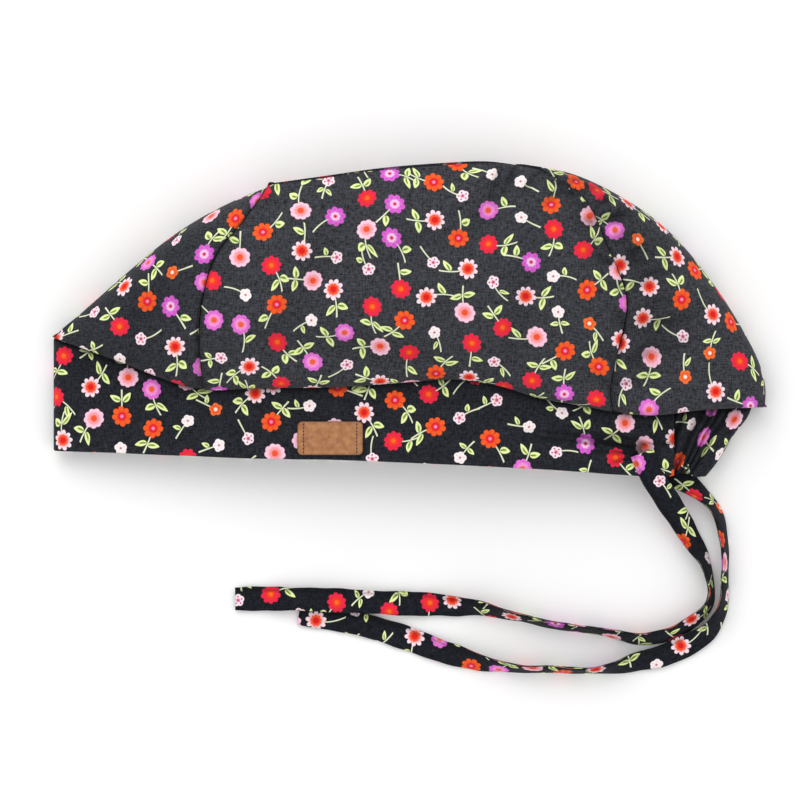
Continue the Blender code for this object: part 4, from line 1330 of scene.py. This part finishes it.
def make_crown(look):
    """Both side panels and the centre strip, whose lower edges are turned under where they face up."""
    strip, shade = centre_strip()
    strip_normals = grid_normals(strip, 1)
    for upper in (True, False):
        make_panel(upper, strip, strip_normals, look)

    fading = smooth(np.linspace(1, 0, 4))
    share = np.concatenate([np.ones(STRIP_QUARTER - 3), fading, np.zeros(STRIP_QUARTER)])
    size = 0.12 + 0.88 * share
    outward = np.tile(UPWARD, (strip.shape[1], 1))
    outward[STRIP_QUARTER:] *= -1
    first = turned_edge(strip[0], strip[LAP_ROW], outward, size)
    last = turned_edge(strip[-1], strip[-1 - LAP_ROW], outward, size)[::-1]
    along = run_lengths(strip, 0)
    away = np.minimum(along, along[-1:] - along)
    shade += EDGE_SHADE * share[None] * np.exp(-away / EDGE_SHADE_REACH)
    shade = np.concatenate([UNDER[:, None] * share[None], shade, UNDER[::-1, None] * share[None]])
    strip = np.concatenate([first, strip, last])
    strip[..., 2] = np.maximum(strip[..., 2], 0)
    flat = flatten(strip, unrolled_strip(strip), 200)
    made = add_cloth("centre_strip", place(strip), grid_normals(strip, 1), CLOTH, look, flat,
                     front_fade(strip[..., 0]), np.clip(shade, 0, 1))
    finish_sheet(made, "crown_strip", strip, spread(flat))


def make_band(look):
    points, shade = band_points()
    middle = run_lengths(points, 0)[:, BAND_ROWS // 2]
    flat = np.dstack(np.broadcast_arrays(middle[:, None], points[..., 1]))
    normals = grid_normals(points, -1)
    made = add_cloth("head_band", place(points), normals, BAND_CLOTH, look, flat, BAND_LIT, shade)
    finish_sheet(made, "band", points, (round(float(middle[-1]), 3), BAND_WIDTH))


def make_hem(look):
    points, shade = hem_points()
    along = HEM_FULLNESS * run_lengths(points, 0)
    flat = np.dstack([along, points[..., 1]])
    normals = grid_normals(points, 1)
    made = add_cloth("nape_hem", place(points), normals, HEM_CLOTH, look, flat, HEM_LIT, shade)
    size = (round(float(along[-1, HEM_ROWS // 2]), 3), round(float(np.ptp(points[..., 1])), 3))
    finish_sheet(made, "back_casing", points, size)


def label_base(x):
    return band_top(x) + LABEL_GAP


def make_label(look, thread):
    """A leather patch with rounded corners, bent to the band's upper layer and sewn down at both ends."""
    ends = LABEL_CORNER * (1 - np.cos(np.linspace(0, np.pi / 2, 9)))
    between = np.linspace(LABEL_CORNER, LABEL_LENGTH - LABEL_CORNER, 30)[1:-1]
    places = np.concatenate([ends, between, LABEL_LENGTH - ends[::-1]])
    middle = LABEL_PLACE * CAP_LENGTH
    low = mouth_edge_y(middle) + LABEL_RISE
    rising = LABEL_SOFT * np.array([0, 0.3, 1])
    falling = rising[::-1]
    sections, edge_darkening = [], []
    for at in places:
        near = min(at, LABEL_LENGTH - at, LABEL_CORNER)
        trim = LABEL_CORNER - math.sqrt(max(LABEL_CORNER**2 - (LABEL_CORNER - near) ** 2, 0))
        trim = min(trim, 0.9 * LABEL_CORNER)
        x = middle - LABEL_LENGTH / 2 + at
        base = label_base(x)
        top = base + LABEL_WALL - LABEL_SOFT * (1 - min(1, near / LABEL_SOFT)) ** 2
        y0, y1 = low + trim, low + LABEL_WIDTH - trim
        flat_y = np.linspace(y0 + 3 * LABEL_SOFT, y1 - 3 * LABEL_SOFT, 14)
        y = np.concatenate([[y0], y0 + rising, flat_y, y1 - falling, [y1]])
        z = np.concatenate([[base], top - falling, np.full(14, top), top - rising, [base]])
        sections.append(np.column_stack([np.full_like(y, x), y, z]))
        # The leather is darker within a third of a millimetre of its edges
        edge_darkening.append(np.exp(-np.minimum(np.minimum(y - y0, y1 - y), near) / 0.0003))
    sections = np.array(sections)
    made = add_loft("leather_label", place(sections), look, sections[..., :2], edge=edge_darkening)
    finish_piece(made, "label")
    ends = [middle + end * (LABEL_LENGTH / 2 - STITCH_INSET) for end in (-1, 1)]
    rows = np.linspace(low + STITCH_MARGIN, low + LABEL_WIDTH - STITCH_MARGIN, 9)
    add_stitches("label_stitches", [(x, y, label_base(x) + LABEL_WALL) for x in ends for y in rows], thread)


def add_stitches(name, middles, look, sides=6, steps=6):
    """Short threads across the band, each a small rounded rod half sunk in the leather."""
    along = np.cos(np.pi * np.arange(steps + 1) / steps)[:, None]
    ring = STITCH_RADIUS * np.maximum(np.sqrt(1 - along**4), 0.12)
    turn = 2 * np.pi * np.arange(sides) / sides
    rod = np.broadcast_arrays(np.cos(turn) * ring, -along * STITCH_LENGTH / 2, np.sin(turn) * ring)
    rod = np.stack(rod, -1).reshape(-1, 3)
    vertices = np.concatenate([place(rod + middle) for middle in middles])
    faces = []
    for number in range(len(middles)):
        faces += loft_faces(steps + 1, sides, number * len(rod))
    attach(add_mesh(name, vertices, faces, look), "root")


# Camera, light and floor

PIXEL = 0.00041  # width of one of the photograph's 800 pixels
CAMERA_PLANE = 0.010  # height at which a pixel is that wide
CAMERA_PLACE = (-0.0038, -0.0326)
LENS = 250.0
SENSOR = 36.0
FLOOR = 1.6  # half the floor's width
FLOOR_GAP = 0.0003  # between the floor and the cloth


def make_camera():
    camera = bpy.data.cameras.new("camera")
    camera.lens = LENS
    camera.sensor_width = SENSOR
    camera.clip_end = 20.0
    made = add_object("camera", camera)
    made.location = (*CAMERA_PLACE, CAMERA_PLANE + 800 * PIXEL * LENS / SENSOR)
    bpy.context.scene.camera = made


def add_area_light(name, size, energy, location):
    """A square light that shines at the middle of the part."""
    light = bpy.data.lights.new(name, "AREA")
    light.shape = "SQUARE"
    light.size = size
    light.energy = energy
    made = add_object(name, light)
    made.location = location
    x, y, z = location
    made.rotation_euler = (math.atan2(math.hypot(x, y), z), 0, math.atan2(x, -y))


def make_studio():
    world = bpy.data.worlds.new("studio")
    world.use_nodes = True
    feed(world.node_tree.nodes["Background"], {"Color": (1, 1, 1, 1), "Strength": 0.90})
    bpy.context.scene.world = world
    add_area_light("key", 1.2, 7.5, (-0.5, 0.9, 1.0))
    add_area_light("fill", 1.4, 2.0, (0.9, -0.5, 1.2))
    corners = [(x * FLOOR, y * FLOOR, -FLOOR_GAP) for x, y in ((-1, -1), (1, -1), (1, 1), (-1, 1))]
    add_mesh("floor", corners, [(0, 1, 2, 3)], white_floor())
    bpy.context.scene.view_settings.view_transform = "Standard"


# From the cap's own frame to the row frame, by the label's corner in both
label_corner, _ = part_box("label")
label_x = LABEL_PLACE * CAP_LENGTH
own_corner = (label_x - LABEL_LENGTH / 2, mouth_edge_y(label_x) + LABEL_RISE)
SHIFT = np.array([label_corner.x - own_corner[0], label_corner.y - own_corner[1], 0.0])

make_camera()
make_studio()
cotton = printed_cotton()
make_tie("cloth_tie_left", "tie_left", LEFT_TIE_ROUTE, above_band, cotton, 1)
make_tie("cloth_tie_right", "tie_right", RIGHT_TIE_ROUTE, above_hem, cotton, 2)
make_crown(cotton)
make_band(cotton)
make_hem(cotton)
make_label(tan_leather(), sewing_thread())
